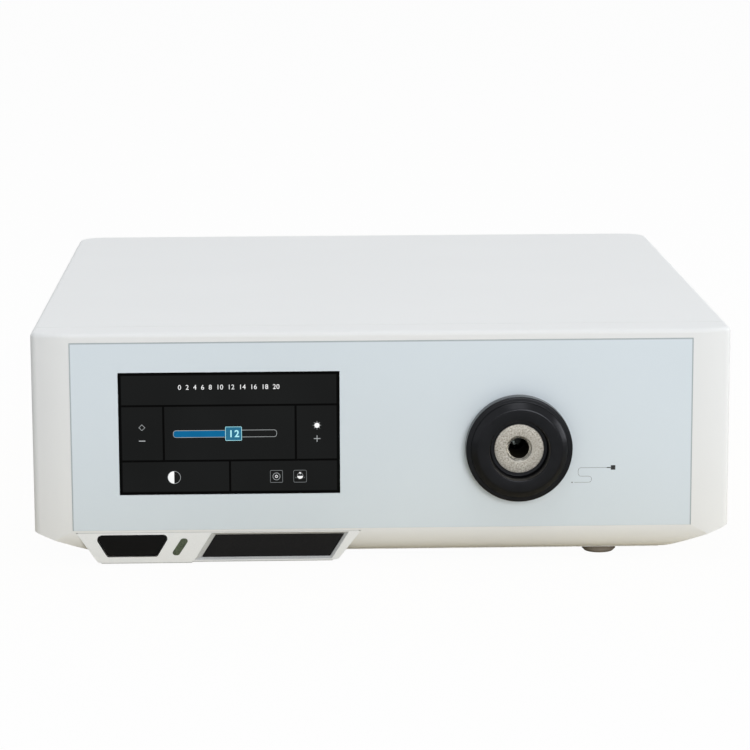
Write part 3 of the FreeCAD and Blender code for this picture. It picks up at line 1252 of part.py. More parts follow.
def leads():
    board_z = CHASSIS + S.driver_standoff + S.board_thick / 2
    terminal_z = CHASSIS + S.supply_wall + S.standoff_radius + S.board_thick + S.terminal_height
    mains_y = SUPPLY_BACK - S.terminal_depth / 2
    inlet_low = INLET_Z - S.inlet_height / 3
    lead("mains_lead", (S.mains_radius, [
        (INLET_X, INLET_FRONT, inlet_low), (INLET_X, mains_y, inlet_low), (INLET_X, mains_y, terminal_z),
    ]))
    out_x = SUPPLY_X + S.supply_width / 4
    lead("driver_lead", (S.wire_radius, [(out_x, SUPPLY_FRONT, board_z), (out_x, DRIVER_BACK, board_z)]))
    driver_top = board_z + S.board_thick / 2
    board_y = depth(SINK_FRONT - S.barrel_lip / 2)
    led_left = PORT_X - S.led_side / 2
    fall_x = DRIVER_X + S.driver_width / 2 - S.lead_side
    lead("led_lead", (S.thin_wire_radius, [
        (led_left, board_y, PORT_Z), (fall_x, board_y, PORT_Z), (fall_x, board_y, driver_top),
    ]))
    button_y = depth(POD_BACK + S.board_thick)
    control_y = depth(CONTROL_FRONT + S.board_thick / 2)
    button_x = LAMP_X - S.lead_side * 2
    button_z = SCREEN_Z - S.control_height / 2 - S.lead_lift
    signal_y = depth(S.driver_front) + S.lead_lift
    lead(
        "signal_leads",
        (S.wire_radius, [
            (SCREEN_X, depth(CONTROL_PLUG_BACK), CONTROL_PLUG_Z), (SCREEN_X, signal_y, CONTROL_PLUG_Z),
            (SCREEN_X, signal_y, driver_top),
        ]),
        (S.thin_wire_radius, [
            (button_x, button_y, button_z), (button_x, control_y, button_z),
            (button_x, control_y, SCREEN_Z - S.control_height / 2),
        ]),
    )
    tail_y = PLATE_FRONT - S.stud_nut_thick * 2
    fall_y = tail_y - S.lead_lift
    lead("earth_lead", (S.wire_radius, [
        (STUD_X, tail_y, STUD_Z), (STUD_X, fall_y, STUD_Z), (STUD_X, fall_y, CHASSIS),
    ]))
    fan_z = CHASSIS + S.supply_height / 2
    near_left, far_left = PORT_X - S.fan_side / 2, REAR_FAN_X - S.fan_side / 2
    near_y = depth(FIN_BACK) + S.fan_thick - S.fan_base
    far_y = PLATE_FRONT - S.fan_thick / 2
    entry_x = SUPPLY_X + S.supply_width / 2 - S.lead_side
    lead(
        "fan_leads",
        (S.wire_radius, [(near_left, near_y, fan_z), (SUPPLY_X + S.supply_width / 2, near_y, fan_z)]),
        (S.wire_radius, [(far_left, far_y, fan_z), (entry_x, far_y, fan_z), (entry_x, SUPPLY_BACK, fan_z)]),
    )


# ---------------------------------------------------------------- the whole part
upper_shell()
base_tray()
front_bezel()
front_panel()
display_parts()
control_parts()
pod_parts()
port_collar()
collar_nut()
light_guide_adapter()
optics()
engine_bracket()
led_parts()
heat_sink()
fan("sink_fan", PORT_X, depth(FIN_BACK), PORT_Z)
fan("rear_fan", REAR_FAN_X, PLATE_FRONT - S.fan_thick, REAR_FAN_Z)
feet()
chassis_plate()
supply_parts()
driver_parts()
rear_panel()
inlet_parts()
fan_screws()
earth_stud()
leads()
doc.recompute()

# ---------------------------------------------------------------- checks and files
for obj in doc.Objects:
    if "Invalid" in obj.State or "Error" in obj.State:
        raise RuntimeError("%s failed: %s" % (obj.Name, obj.State))
    if obj.TypeId in ("PartDesign::Pocket", "PartDesign::Groove", "PartDesign::SubtractiveLoft"):
        if obj.Shape.Volume > obj.BaseFeature.Shape.Volume - HAIR:
            raise RuntimeError(obj.Name + " cuts nothing")
os.makedirs("parts", exist_ok=True)
for obj in NODES:
    if obj.Shape.isNull() or not obj.Shape.isValid():
        raise RuntimeError(obj.Label + " has no valid shape")
    obj.Shape.exportStep("parts/%s.step" % obj.Label)
    print(obj.Label, len(obj.Shape.Solids), round(obj.Shape.Volume), obj.Shape.BoundBox)
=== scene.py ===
# %% [markdown]
# # Bench light source for fibre optic light guides
# A flat white case holds a strong LED. The touch screen at the front left sets its brightness, and the
# round black port at the front right takes the light guide. Under the screen hangs a pod with the
# power key. The solid parts come ready made from the CAD frame, so the work here is finish: materials,
# the picture on the screen, printing, and turned pieces whose curves want a finer mesh.

import math

import bmesh
import bpy
from mathutils import Matrix, Vector


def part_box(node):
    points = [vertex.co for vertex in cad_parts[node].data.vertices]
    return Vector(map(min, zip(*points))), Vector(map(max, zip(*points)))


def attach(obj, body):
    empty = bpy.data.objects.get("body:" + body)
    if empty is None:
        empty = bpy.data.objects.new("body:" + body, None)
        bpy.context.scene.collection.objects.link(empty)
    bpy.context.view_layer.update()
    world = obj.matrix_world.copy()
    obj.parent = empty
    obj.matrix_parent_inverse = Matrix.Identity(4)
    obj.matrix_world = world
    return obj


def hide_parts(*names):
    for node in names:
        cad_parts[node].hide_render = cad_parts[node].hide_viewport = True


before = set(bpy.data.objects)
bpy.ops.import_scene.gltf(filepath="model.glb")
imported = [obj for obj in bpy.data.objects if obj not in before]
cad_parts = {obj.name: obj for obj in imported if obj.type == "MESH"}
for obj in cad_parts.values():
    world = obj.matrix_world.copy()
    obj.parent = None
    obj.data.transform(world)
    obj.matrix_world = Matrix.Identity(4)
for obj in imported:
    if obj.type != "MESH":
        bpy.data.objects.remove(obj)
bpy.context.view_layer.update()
MM = 0.001

# %% [markdown]
# ## Sizes that everything else is set out from
# The pieces below sit on CAD faces, so their places are read from the boxes of the nodes and not typed
# in again. All lengths here are in millimetres, and become metres only when a piece is finished.


# %% Places read from the frame
def corners(node):
    """Lowest and highest corner of a CAD node, in millimetres."""
    return tuple(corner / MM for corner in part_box(node))


panel_low, panel_high = corners("front_panel")
glass_low, glass_high = corners("touch_glass")
collar_low, collar_high = corners("port_collar")
insert_low, insert_high = corners("light_guide_adapter")
pod_low, pod_high = corners("pod_housing")
PANEL_FACE = panel_low.y
GLASS_FACE = glass_low.y
POD_FACE = pod_low.y
PORT = (collar_low + collar_high) / 2
BORE_RADIUS, LEAD_IN = 5.1, 1.5
print("port centre:", round(PORT.x, 2), round(PORT.z, 2))


# %% [markdown]
# ## Colour and nodes
# A paint chart or a colour picker gives sRGB hex values, but shaders add and multiply light, so they
# need linear values. One function turns every colour in this file. A second one adds a shader node with
# its settings and its links, so a material reads from top to bottom: where its pattern comes from, what
# shade, gloss and relief the pattern gives, and how they join the shader.

# %% Colours
def linear(text):
    """Linear RGBA of an sRGB hex colour such as E9EAE8."""
    channels = [int(text[place:place + 2], 16) / 255 for place in (0, 2, 4)]
    return [
        value / 12.92 if value <= 0.04045 else ((value + 0.055) / 1.055) ** 2.4 for value in channels
    ] + [1.0]


# %% Nodes
# A Mix node has sockets for numbers, vectors and colours under the same names, so the ones for
# colours go by number. A wave texture with a scale of 1 repeats every twentieth of a full turn.
SHARE, FIRST, SECOND, MIXED = 0, 6, 7, 2
WAVE_PERIOD = math.tau / 20


def add_node(tree, kind, sockets=(), stops=(), **settings):
    """Adds a shader node. Sockets maps an input to a plain value, a hex colour or another node's
    output. Stops are the places and hex colours of a colour ramp."""
    made = tree.nodes.new("ShaderNode" + kind)
    for name, value in settings.items():
        setattr(made, name, value)
    for index, (at, colour) in enumerate(stops):
        made.color_ramp.elements[index].color = linear(colour)
        made.color_ramp.elements[index].position = at
    for name, value in dict(sockets).items():
        if isinstance(value, bpy.types.NodeSocket):
            tree.links.new(value, made.inputs[name])
        else:
            made.inputs[name].default_value = linear(value) if isinstance(value, str) else value
    return made


# %% Materials
def start_material(name, **sockets):
    """A new material with one Principled shader. Returns it with its tree, shader and Object place."""
    made = bpy.data.materials.new(name)
    made.use_nodes = True
    made.node_tree.nodes.clear()
    tree = made.node_tree
    values = {key.replace("_", " "): value for key, value in sockets.items()}
    shader = add_node(tree, "BsdfPrincipled", values)
    add_node(tree, "OutputMaterial", {"Surface": shader.outputs[0]})
    place = add_node(tree, "TexCoord").outputs["Object"]
    print("material", name)
    return made, tree, shader, place


def finish_surface(tree, shader, colour=None, roughness=None, height=None, relief=0.0):
    """Links finished patterns to the shader: colour, roughness and a relief in millimetres."""
    if colour:
        tree.links.new(colour, shader.inputs["Base Color"])
    if roughness:
        tree.links.new(roughness, shader.inputs["Roughness"])
    if height:
        bump = add_node(tree, "Bump", {"Height": height, "Distance": relief * MM})
        tree.links.new(bump.outputs["Normal"], shader.inputs["Normal"])


# %% [markdown]
# ## Moulded plastics
# The case, the pod and the key are injection moulded ABS. The mould is spark eroded, which leaves an
# even, matt grain of a tenth of a millimetre or two. That grain is too fine to show from here, so it is
# drawn three times as coarse and very shallow. A second, wide noise lets the colour wander by a shade,
# as it does on a large moulding.

# %% Moulded plastic materials
CLOUD = 90


def moulded(name, dark, light, roughness, grain, relief, **sockets):
    """Injection moulded plastic: two close shades, and a grain whose size is given in millimetres."""
    made, tree, shader, place = start_material(name, **sockets)
    cloud = add_node(tree, "TexNoise", {"Vector": place, "Scale": 1 / (CLOUD * MM), "Detail": 2.0})
    pores = add_node(tree, "TexNoise", {"Vector": place, "Scale": 1 / (grain * MM), "Detail": 3.0})
    shade = add_node(tree, "ValToRGB", {"Fac": cloud.outputs["Fac"]}, [(0.35, dark), (0.65, light)])
    levels = {"To Min": roughness - 0.06, "To Max": roughness + 0.06}
    gloss = add_node(tree, "MapRange", {"Value": pores.outputs["Fac"], **levels})
    finish_surface(
        tree, shader, shade.outputs["Color"], gloss.outputs["Result"], pores.outputs["Fac"], relief
    )
    return made


# Satin ABS: a neutral white whose reflections have no edge.
case_white = moulded("case_white_abs", "EBECEC", "ECEDED", 0.48, 0.5, 0.012, IOR=1.54)
# Soft touch paint on the key, and the painted shade round it: nearly black and without shine.
key_black = moulded("key_black_soft_touch", "0B0B0B", "0F0F0F", 0.62, 0.6, 0.03, Specular_IOR_Level=0.08)
# PBT of the fans and the inlet: dark grey, with a little shine.
pbt_black = moulded("pbt_black", "0F1011", "17181A", 0.45, 0.5, 0.02, IOR=1.57)
# Rubber of the feet: warm grey and quite dull.
foot_rubber = moulded("foot_grey_rubber", "857D73", "928A80", 0.85, 0.7, 0.04, Specular_IOR_Level=0.3)
# PVC of the leads: black and smooth.
lead_jacket = moulded("lead_black_pvc", "0C0C0D", "141415", 0.5, 0.8, 0.02, IOR=1.53)

# %% [markdown]
# The pod is moulded in the same white. Everything behind its face, such as the tray round its name
# plate, is painted a greyer white: painted shade, as those surfaces lie back in the shade of the face.
# The depth behind the face decides which of the two shades a point gets.

# %% Pod material
EDGE_START, EDGE_BAND = 0.06, 0.1
pod_white, tree, shader, place = start_material("pod_white_abs", IOR=1.54)
pores = add_node(tree, "TexNoise", {"Vector": place, "Scale": 1 / (0.5 * MM), "Detail": 3.0}).outputs["Fac"]
depth_in = add_node(tree, "SeparateXYZ", {"Vector": place}).outputs["Y"]
edge = POD_FACE + EDGE_START
band = {"Value": depth_in, "From Min": edge * MM, "From Max": (edge + EDGE_BAND) * MM}
behind_face = add_node(tree, "MapRange", band).outputs["Result"]
bright = add_node(tree, "ValToRGB", {"Fac": pores}, [(0.35, "EEF0F1"), (0.65, "F2F4F5")]).outputs["Color"]
# The greyer white behind the face is painted shade.
behind_face_shade = add_node(tree, "ValToRGB", {"Fac": pores}, [(0.35, "C0C2C3"), (0.65, "CCCECF")]).outputs["Color"]
shade = add_node(tree, "Mix", {SHARE: behind_face, FIRST: bright, SECOND: behind_face_shade}, data_type="RGBA")
gloss = add_node(tree, "MapRange", {"Value": pores, "To Min": 0.42, "To Max": 0.56})
finish_surface(tree, shader, shade.outputs[MIXED], gloss.outputs["Result"], pores, relief=0.012)

# %% [markdown]
# ## Inlay and cover glass
# The front inlay is a clear sheet painted grey blue on its back, so its colour seems to lie a little
# under a smooth, satin surface. A thin clear coat over a smooth paint gives that. At the sides and the
# top a darker grey is painted along the edge: painted shade of the gap where the sheet ends in its seat.
# The cover glass of the screen is printed black behind, and only its reflection and faint wipe marks show.

# %% Inlay
inlay_paint, tree, shader, place = start_material(
    "inlay_grey_blue", IOR=1.49, Coat_Weight=0.25, Coat_Roughness=0.22, Coat_IOR=1.49
)
cloud = add_node(tree, "TexNoise", {"Vector": place, "Scale": 1 / (120 * MM), "Detail": 1.0}).outputs["Fac"]
haze = add_node(tree, "TexNoise", {"Vector": place, "Scale": 1 / (0.8 * MM), "Detail": 2.0}).outputs["Fac"]
axes = add_node(tree, "SeparateXYZ", {"Vector": place}).outputs
sideways = add_node(tree, "Math", {0: axes["X"]}, operation="ABSOLUTE").outputs[0]
# A darker grey along the sides and the top is painted shade of the gap round the sheet.
side_line, top_line, line_fade = 0.75, 0.8, 0.4
lines = []
for along, line_start in ((sideways, panel_high.x - side_line), (axes["Z"], panel_high.z - top_line)):
    band = {"Value": along, "From Min": line_start * MM, "From Max": (line_start + line_fade) * MM}
    lines.append(add_node(tree, "MapRange", band).outputs["Result"])
edge_painted_shade = add_node(tree, "Math", {0: lines[0], 1: lines[1]}, operation="MAXIMUM").outputs[0]
paint = add_node(tree, "ValToRGB", {"Fac": cloud}, [(0.3, "D9E3EA"), (0.7, "DDE7EE")]).outputs["Color"]
shade = add_node(tree, "Mix", {SHARE: edge_painted_shade, FIRST: paint, SECOND: "A9B2B8"}, data_type="RGBA")
gloss = add_node(tree, "MapRange", {"Value": haze, "To Min": 0.36, "To Max": 0.46})
finish_surface(tree, shader, shade.outputs[MIXED], gloss.outputs["Result"], haze, relief=0.004)

# %% Cover glass
# Wipe marks run across the glass: three to 100 mm sideways, and eleven to 100 mm upwards.
wipes_across, wipes_up = 3 / (100 * MM), 11 / (100 * MM)
cover_glass, tree, shader, place = start_material("cover_glass_black", Specular_IOR_Level=0.05)
wipes = add_node(tree, "Mapping", {"Vector": place, "Scale": (wipes_across, 1, wipes_up)}).outputs["Vector"]
smear = add_node(tree, "TexNoise", {"Vector": wipes, "Scale": 1.0, "Detail": 4.0}).outputs["Fac"]
shade = add_node(tree, "ValToRGB", {"Fac": smear}, [(0.0, "010101"), (1.0, "020202")])
gloss = add_node(tree, "MapRange", {"Value": smear, "To Min": 0.06, "To Max": 0.16})
finish_surface(tree, shader, shade.outputs["Color"], gloss.outputs["Result"])

# %% [markdown]
# ## Small parts with one even finish
# The printed film of the name plate, the smoked light pipe, printing ink and plated screws each have one
# fine pattern, and it sets their shade, their gloss and their relief at once. Ink alone has no relief.
# One function makes them all, each from its own size of grit, film grain or stain.

# %% Even finishes
def even_finish(name, stops, levels, size, relief=0.0, detail=3.0, **sockets):
    """A surface with one pattern: its two shades, its two levels of roughness and its size in mm."""
    made, tree, shader, place = start_material(name, **sockets)
    spots = add_node(tree, "TexNoise", {"Vector": place, "Scale": 1 / (size * MM), "Detail": detail})
    spread = spots.outputs["Fac"]
    shade = add_node(tree, "ValToRGB", {"Fac": spread}, stops).outputs["Color"]
    gloss = add_node(tree, "MapRange", {"Value": spread, "To Min": levels[0], "To Max": levels[1]})
    finish_surface(tree, shader, shade, gloss.outputs["Result"], spread if relief else None, relief)
    return made


# %% Film, smoked acrylic and ink
# Printed film on the name plate: charcoal, with a fine film grain that keeps it from shining.
plate_black = even_finish(
    "plate_black_film", [(0.3, "181819"), (0.7, "1E1E1F")], (0.48, 0.6), 0.7, 0.02, 4.0,
    Specular_IOR_Level=0.08,
)
# Smoked acrylic: a dull green grey with darker specks, unlit.
lamp_smoked = even_finish(
    "lamp_smoked_acrylic", [(0.35, "3E4738"), (0.65, "5A6450")], (0.25, 0.4), 0.9, 0.02,
    Specular_IOR_Level=0.3,
)
# Screen printing ink: flat and opaque, with the faint grit of its pigment.
print_black = even_finish(
    "printing_ink_black", [(0.0, "06080B"), (1.0, "0C0F13")], (0.5, 0.6), 0.3, detail=2.0, IOR=1.5
)
print_white = even_finish(
    "printing_ink_white", [(0.0, "C9CBCB"), (1.0, "DADCDC")], (0.5, 0.6), 0.3, detail=2.0, IOR=1.5
)

# %% Plated metals
# Zinc and nickel plated brass, stained a little with a soft gloss, and painted shade for a screw's recess.
screw_zinc = even_finish(
    "screw_zinc_plated", [(0.3, "8F9395"), (0.7, "A9ADAF")], (0.27, 0.4), 2, 0.008, Metallic=1.0
)
brass_nickel = even_finish(
    "brass_nickel_plated", [(0.3, "B3A985"), (0.7, "CFC6A6")], (0.23, 0.36), 2, 0.008, Metallic=1.0
)
# Dark metal for the floor of a screw's recess: painted shade.
recess_dark = even_finish(
    "screw_recess_painted_shade", [(0.3, "1E2021"), (0.7, "2A2C2D")], (0.55, 0.68), 2, 0.008, Metallic=1.0
)

# %% [markdown]
# ## Turned metals of the light port
# The collar is turned aluminium, anodised black. The tool leaves rings a fraction of a millimetre apart,
# which are drawn at a millimetre and a half and very shallow, and the dyed oxide keeps a soft gloss.
# The insert is stainless steel, bead blasted after turning, so its face is warm grey and grainy; the
# grain is drawn coarser than the real one, so that it shows. Its lead-in is turned last and stays
# bright, and its bore is painted dark brown: painted shade of the deep, narrow hole. The distance from
# the port's axis tells the three apart.

# %% Anodised aluminium
ring_gap, dye_spot = 1.57, 6
to_axis = (-PORT.x * MM, 0, -PORT.z * MM)
anodised_black, tree, shader, place = start_material("anodised_black_turned", Metallic=0.8)
centred = add_node(tree, "Mapping", {"Vector": place, "Location": to_axis}).outputs["Vector"]
ring_wave = {"Vector": centred, "Scale": WAVE_PERIOD / (ring_gap * MM), "Distortion": 0.4, "Detail": 2.0}
rings = add_node(tree, "TexWave", ring_wave, wave_type="RINGS", rings_direction="Y").outputs["Fac"]
dye_cloud = {"Vector": place, "Scale": 1 / (dye_spot * MM), "Detail": 3.0}
dye = add_node(tree, "TexNoise", dye_cloud).outputs["Fac"]
shade = add_node(tree, "ValToRGB", {"Fac": dye}, [(0.3, "191A1D"), (0.7, "1E1F22")])
gloss = add_node(tree, "MapRange", {"Value": rings, "To Min": 0.24, "To Max": 0.27})
finish_surface(tree, shader, shade.outputs["Color"], gloss.outputs["Result"], rings, relief=0.0015)

# %% Blasted steel
bead_size, edge_band = 0.8, 0.1
bore_edge, face_edge = BORE_RADIUS + 0.02, BORE_RADIUS + LEAD_IN - 0.05
insert_steel, tree, shader, place = start_material("insert_steel_blasted", Metallic=0.8)
bead_grain = {"Vector": place, "Scale": 1 / (bead_size * MM), "Detail": 3.0}
beads = add_node(tree, "TexNoise", bead_grain).outputs["Fac"]
flat_place = {"Vector": place, "Scale": (1, 0, 1), "Location": to_axis}
across = add_node(tree, "Mapping", flat_place).outputs["Vector"]
reach = add_node(tree, "VectorMath", {0: across}, operation="LENGTH").outputs["Value"]
out_of_bore, on_face = (
    add_node(
        tree, "MapRange", {"Value": reach, "From Min": start * MM, "From Max": (start + edge_band) * MM}
    ).outputs["Result"]
    for start in (bore_edge, face_edge)
)
blasted = add_node(tree, "ValToRGB", {"Fac": beads}, [(0.32, "837F76"), (0.68, "C4C1BA")]).outputs["Color"]
steel = add_node(tree, "Mix", {SHARE: on_face, FIRST: "C2BFB7", SECOND: blasted}, data_type="RGBA")
# Inside the bore the steel is painted dark brown: painted shade of the deep hole.
shade = add_node(
    tree, "Mix", {SHARE: out_of_bore, FIRST: "2C2820", SECOND: steel.outputs[MIXED]}, data_type="RGBA"
)
turned_gloss = add_node(tree, "MapRange", {"Value": out_of_bore, "To Min": 0.65, "To Max": 0.25})
blast_gloss = add_node(tree, "MapRange", {"Value": beads, "To Min": 0.2, "To Max": 0.34})
gloss = add_node(
    tree, "Math", {0: on_face, 1: blast_gloss.outputs["Result"], 2: turned_gloss.outputs["Result"]},
    operation="MULTIPLY_ADD",
)
dents = add_node(tree, "Math", {0: beads, 1: on_face}, operation="MULTIPLY").outputs[0]
finish_surface(tree, shader, shade.outputs[MIXED], gloss.outputs[0], dents, relief=0.025)

# %% [markdown]
# ## Sheet metal and the heat sink
# The rear panel and the supply's case are zinc plated steel, with faint crystals that a cell pattern
# gives in one step. The heat sink is bare aluminium pressed through a die, which leaves lines along it:
# a noise that is stretched more than a hundred times in that direction.

# %% Zinc plated sheet
zinc_sheet, tree, shader, place = start_material("sheet_steel_zinc_plated", Metallic=1.0)
crystals = add_node(tree, "TexVoronoi", {"Vector": place, "Scale": 1 / (4 * MM)}).outputs["Color"]
haze = add_node(tree, "TexNoise", {"Vector": place, "Scale": 1 / (1.2 * MM), "Detail": 4.0}).outputs["Fac"]
shade = add_node(tree, "ValToRGB", {"Fac": crystals}, [(0.0, "A8ACAE"), (1.0, "B2B5B7")])
gloss = add_node(tree, "MapRange", {"Value": haze, "To Min": 0.34, "To Max": 0.48})
finish_surface(tree, shader, shade.outputs["Color"], gloss.outputs["Result"], haze, relief=0.01)

# %% Extruded aluminium
# Three die lines lie in 2 mm, and each is some 80 mm long.
lines_across, lines_along = 3 / (2 * MM), 12
extruded, tree, shader, place = start_material("aluminium_extruded", Metallic=1.0)
stretch = {"Vector": place, "Scale": (lines_across, lines_along, lines_across)}
along = add_node(tree, "Mapping", stretch).outputs["Vector"]
die_lines = add_node(tree, "TexNoise", {"Vector": along, "Scale": 1.0, "Detail": 3.0}).outputs["Fac"]
shade = add_node(tree, "ValToRGB", {"Fac": die_lines}, [(0.0, "B4B6B8"), (1.0, "C6C8CA")])
gloss = add_node(tree, "MapRange", {"Value": die_lines, "To Min": 0.3, "To Max": 0.45})
finish_surface(tree, shader, shade.outputs["Color"], gloss.outputs["Result"], die_lines, relief=0.02)

# %% [markdown]
# ## Boards, lamp and glass inside
# These show only through the grilles, or when somebody takes the model apart. Each still gets its own
# finish: green solder mask with tracks under it, a yellow phosphor spot, the striped jacket of the
# earth lead, and clear glass.

# %% Solder mask and phosphor
track_pitch = 22
solder_mask, tree, shader, place = start_material(
    "solder_mask_green", IOR=1.55, Coat_Weight=0.3, Coat_Roughness=0.2
)
tracks = add_node(
    tree, "TexBrick",
    {"Vector": place, "Color1": "0D3B22", "Color2": "0F4527", "Mortar": "1C6A3C",
     "Scale": 1 / (track_pitch * MM), "Mortar Size": 0.018, "Brick Width": 0.35, "Row Height": 0.12},
).outputs
gloss = add_node(tree, "MapRange", {"Value": tracks["Fac"], "To Min": 0.3, "To Max": 0.4})
finish_surface(tree, shader, tracks["Color"], gloss.outputs["Result"], tracks["Fac"], relief=0.035)

phosphor = moulded("phosphor_yellow", "D9B93A", "E6CB55", 0.45, 0.3, 0.01, IOR=1.41)

# %% Jacket of the earth lead
jacket_stripe = 9.42
earth_jacket, tree, shader, place = start_material("earth_green_yellow_pvc", IOR=1.53, Roughness=0.45)
stripe_wave = {"Vector": place, "Scale": WAVE_PERIOD / (jacket_stripe * MM)}
stripe = add_node(tree, "TexWave", stripe_wave, wave_type="BANDS", bands_direction="X").outputs["Fac"]
shade = add_node(tree, "ValToRGB", {"Fac": stripe}, [(0.45, "1E7A35"), (0.55, "D8C32B")])
finish_surface(tree, shader, shade.outputs["Color"])


# %% Clear glass
def clear_glass(name, tint, roughness):
    """Polished glass with a faint tint and the finest of surface marks."""
    made, tree, shader, place = start_material(
        name, IOR=1.52, Transmission_Weight=1.0, Base_Color=tint, Specular_IOR_Level=0.1
    )
    marks = add_node(tree, "TexNoise", {"Vector": place, "Scale": 1 / (3 * MM), "Detail": 3.0})
    levels = {"To Min": roughness, "To Max": roughness + 0.04}
    gloss = add_node(tree, "MapRange", {"Value": marks.outputs["Fac"], **levels})
    finish_surface(tree, shader, roughness=gloss.outputs["Result"])
    return made


lens_glass = clear_glass("lens_crown_glass", "6E7573", 0.0)
fuse_glass = clear_glass("fuse_tube_glass", "EEF2F0", 0.05)

# %% [markdown]
# ## Dressing the CAD nodes
# Each node takes the material of its own finish. A table of nodes by material is shorter to read than
# sixty assignments, and shows at a glance that none was forgotten.

# %% Materials on the CAD nodes
finishes = {
    case_white: "upper_shell base_tray front_bezel",
    pod_white: "pod_housing",
    inlay_paint: "front_panel",
    cover_glass: "touch_glass",
    key_black: "power_button",
    lamp_smoked: "status_lens",
    plate_black: "name_plate",
    anodised_black: "port_collar collar_nut lens_barrel lens_spacer lens_keeper",
    insert_steel: "light_guide_adapter",
    zinc_sheet: "rear_panel display_module display_bracket chassis_plate supply_case supply_cover",
    extruded: "engine_bracket led_board heat_sink",
    screw_zinc: "bracket_screws engine_screws fan_screws inlet_screws cover_screws",
    brass_nickel: "control_standoffs driver_standoffs inlet_pins equipotential_stud stud_nut",
    foot_rubber: "foot_front_left foot_front_right foot_rear_left foot_rear_right",
    solder_mask: "control_board button_board supply_board driver_board",
    pbt_black: "sink_fan_frame sink_fan_rotor rear_fan_frame rear_fan_rotor supply_terminals inlet_body "
               "rocker_switch fuse_drawer",
    lens_glass: "front_lens rear_lens",
    fuse_glass: "fuses",
    phosphor: "led_emitter",
    lead_jacket: "mains_lead driver_lead led_lead signal_leads fan_leads",
    earth_jacket: "earth_lead",
}
for material, names in finishes.items():
    for name in names.split():
        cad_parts[name].material_slots[0].material = material
dressed = {name for names in finishes.values() for name in names.split()}
print("nodes without a finish:", sorted(set(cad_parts) - dressed))


# %% [markdown]
# ## From a bmesh to a finished piece
# Every new piece is shaped in millimetres, then turned into an object that sits at the origin with its
# place in its mesh, as the CAD nodes do. Edges sharper than 30 degrees stay crisp and the rest is
# shaded smooth.

# %% Finishing a piece
SMOOTH_ANGLE = math.radians(30)


def finish_piece(name, shape, material, body="root", stands_for=()):
    """Makes an object of a bmesh in millimetres and ties it to a CAD body."""
    bmesh.ops.scale(shape, vec=(MM, MM, MM), verts=shape.verts)
    bmesh.ops.recalc_face_normals(shape, faces=shape.faces)
    mesh = bpy.data.meshes.new(name)
    shape.to_mesh(mesh)
    shape.free()
    mesh.shade_smooth()
    mesh.set_sharp_from_angle(angle=SMOOTH_ANGLE)
    mesh.materials.append(material)
    piece = bpy.data.objects.new(name, mesh)
    bpy.context.scene.collection.objects.link(piece)
    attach(piece, body)
    if stands_for:
        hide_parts(*stands_for)
    print(name, "has", len(mesh.polygons), "faces")


# %% [markdown]
# ## Light port
# The collar is one turned piece: a thin flange against the inlay, a swelling shoulder, a flat front and
# a mouth that narrows to the throat. In the light its rounded edges draw the rings that make it look
# turned. A spin of one rounded profile gives that directly, finer than the CAD mesh.

# %% Turning and rounding
def turned(profile, steps):
    """Spins a closed profile of (place along Y, radius) round the port's axis."""
    shape = bmesh.new()
    ring = [shape.verts.new((PORT.x + radius, y, PORT.z)) for y, radius in profile]
    edges = [shape.edges.new(pair) for pair in zip(ring, ring[1:] + ring[:1])]
    bmesh.ops.spin(
        shape, geom=ring + edges, cent=(PORT.x, 0, PORT.z), axis=(0, 1, 0),
        angle=math.tau, steps=steps, use_merge=True,
    )
    bmesh.ops.remove_doubles(shape, verts=shape.verts, dist=0.001)
    return shape


def rounded(profile, radii, steps=6):
    """Rounds the corners of a profile; radii gives one radius a corner, 0 for a sharp one."""
    points = []
    count = len(profile)
    for index, (corner, radius) in enumerate(zip(profile, radii)):
        here = Vector(corner)
        back = (Vector(profile[index - 1]) - here).normalized()
        ahead = (Vector(profile[(index + 1) % count]) - here).normalized()
        if not radius:
            points.append(tuple(here))
            continue
        half = back.angle(ahead) / 2
        centre = here + (back + ahead).normalized() * (radius / math.sin(half))
        first = here + back * (radius / math.tan(half)) - centre
        last = here + ahead * (radius / math.tan(half)) - centre
        swing = first.angle_signed(last)
        for step in range(steps + 1):
            spoke = first.copy()
            spoke.rotate(Matrix.Rotation(-swing * step / steps, 2))
            points.append(tuple(centre + spoke))
    return points


# %% Port collar
flange_edge, edge_break, step_depth, throat_depth = 6.9, 0.1, 0.9, 7.2
step_radius, front_radius, mouth_radius, throat_radius = 24.2, 21.2, 15.2, 14.1
spigot_radius, guide_bore = 20.0, 8.05
flange_radius = (collar_high.x - collar_low.x) / 2 - edge_break
front_y, back_y = collar_low.y, collar_high.y
shoulder_foot, throat_y = PANEL_FACE - flange_edge, front_y + throat_depth
collar_profile = [
    (back_y, spigot_radius), (PANEL_FACE, spigot_radius), (PANEL_FACE, flange_radius),
    (shoulder_foot, flange_radius), (shoulder_foot, step_radius), (shoulder_foot - step_depth, step_radius),
    (front_y, front_radius), (front_y, mouth_radius), (throat_y, throat_radius), (throat_y, guide_bore),
    (back_y, guide_bore),
]
collar_radii = [0.3, 0, 0, 0.8, 0.3, 1.1, 1.6, 0.5, 0.2, 0.2, 0.3]
collar = turned(rounded(collar_profile, collar_radii), steps=160)
finish_piece("port_collar_turned", collar, anodised_black, stands_for=["port_collar"])

# %% [markdown]
# The steel insert sits in the throat. Its face is blasted, and the lead-in at its bore is turned
# afterwards, so a bright ring shows there.

# %% Steel insert
head_radius, shank_radius = 12.45, 8.0
face_y, insert_back = insert_low.y, insert_high.y
insert_profile = [
    (insert_back, BORE_RADIUS), (insert_back, shank_radius), (throat_y, shank_radius),
    (throat_y, head_radius), (face_y, head_radius), (face_y, BORE_RADIUS + LEAD_IN),
    (face_y + LEAD_IN, BORE_RADIUS),
]
insert_radii = [0, 0.4, 0, 0.2, 0.35, 0.12, 0.12]
insert = turned(rounded(insert_profile, insert_radii, steps=4), steps=128)
finish_piece(
    "light_guide_insert", insert, insert_steel, body="guide_insert",
    stands_for=["light_guide_adapter"],
)


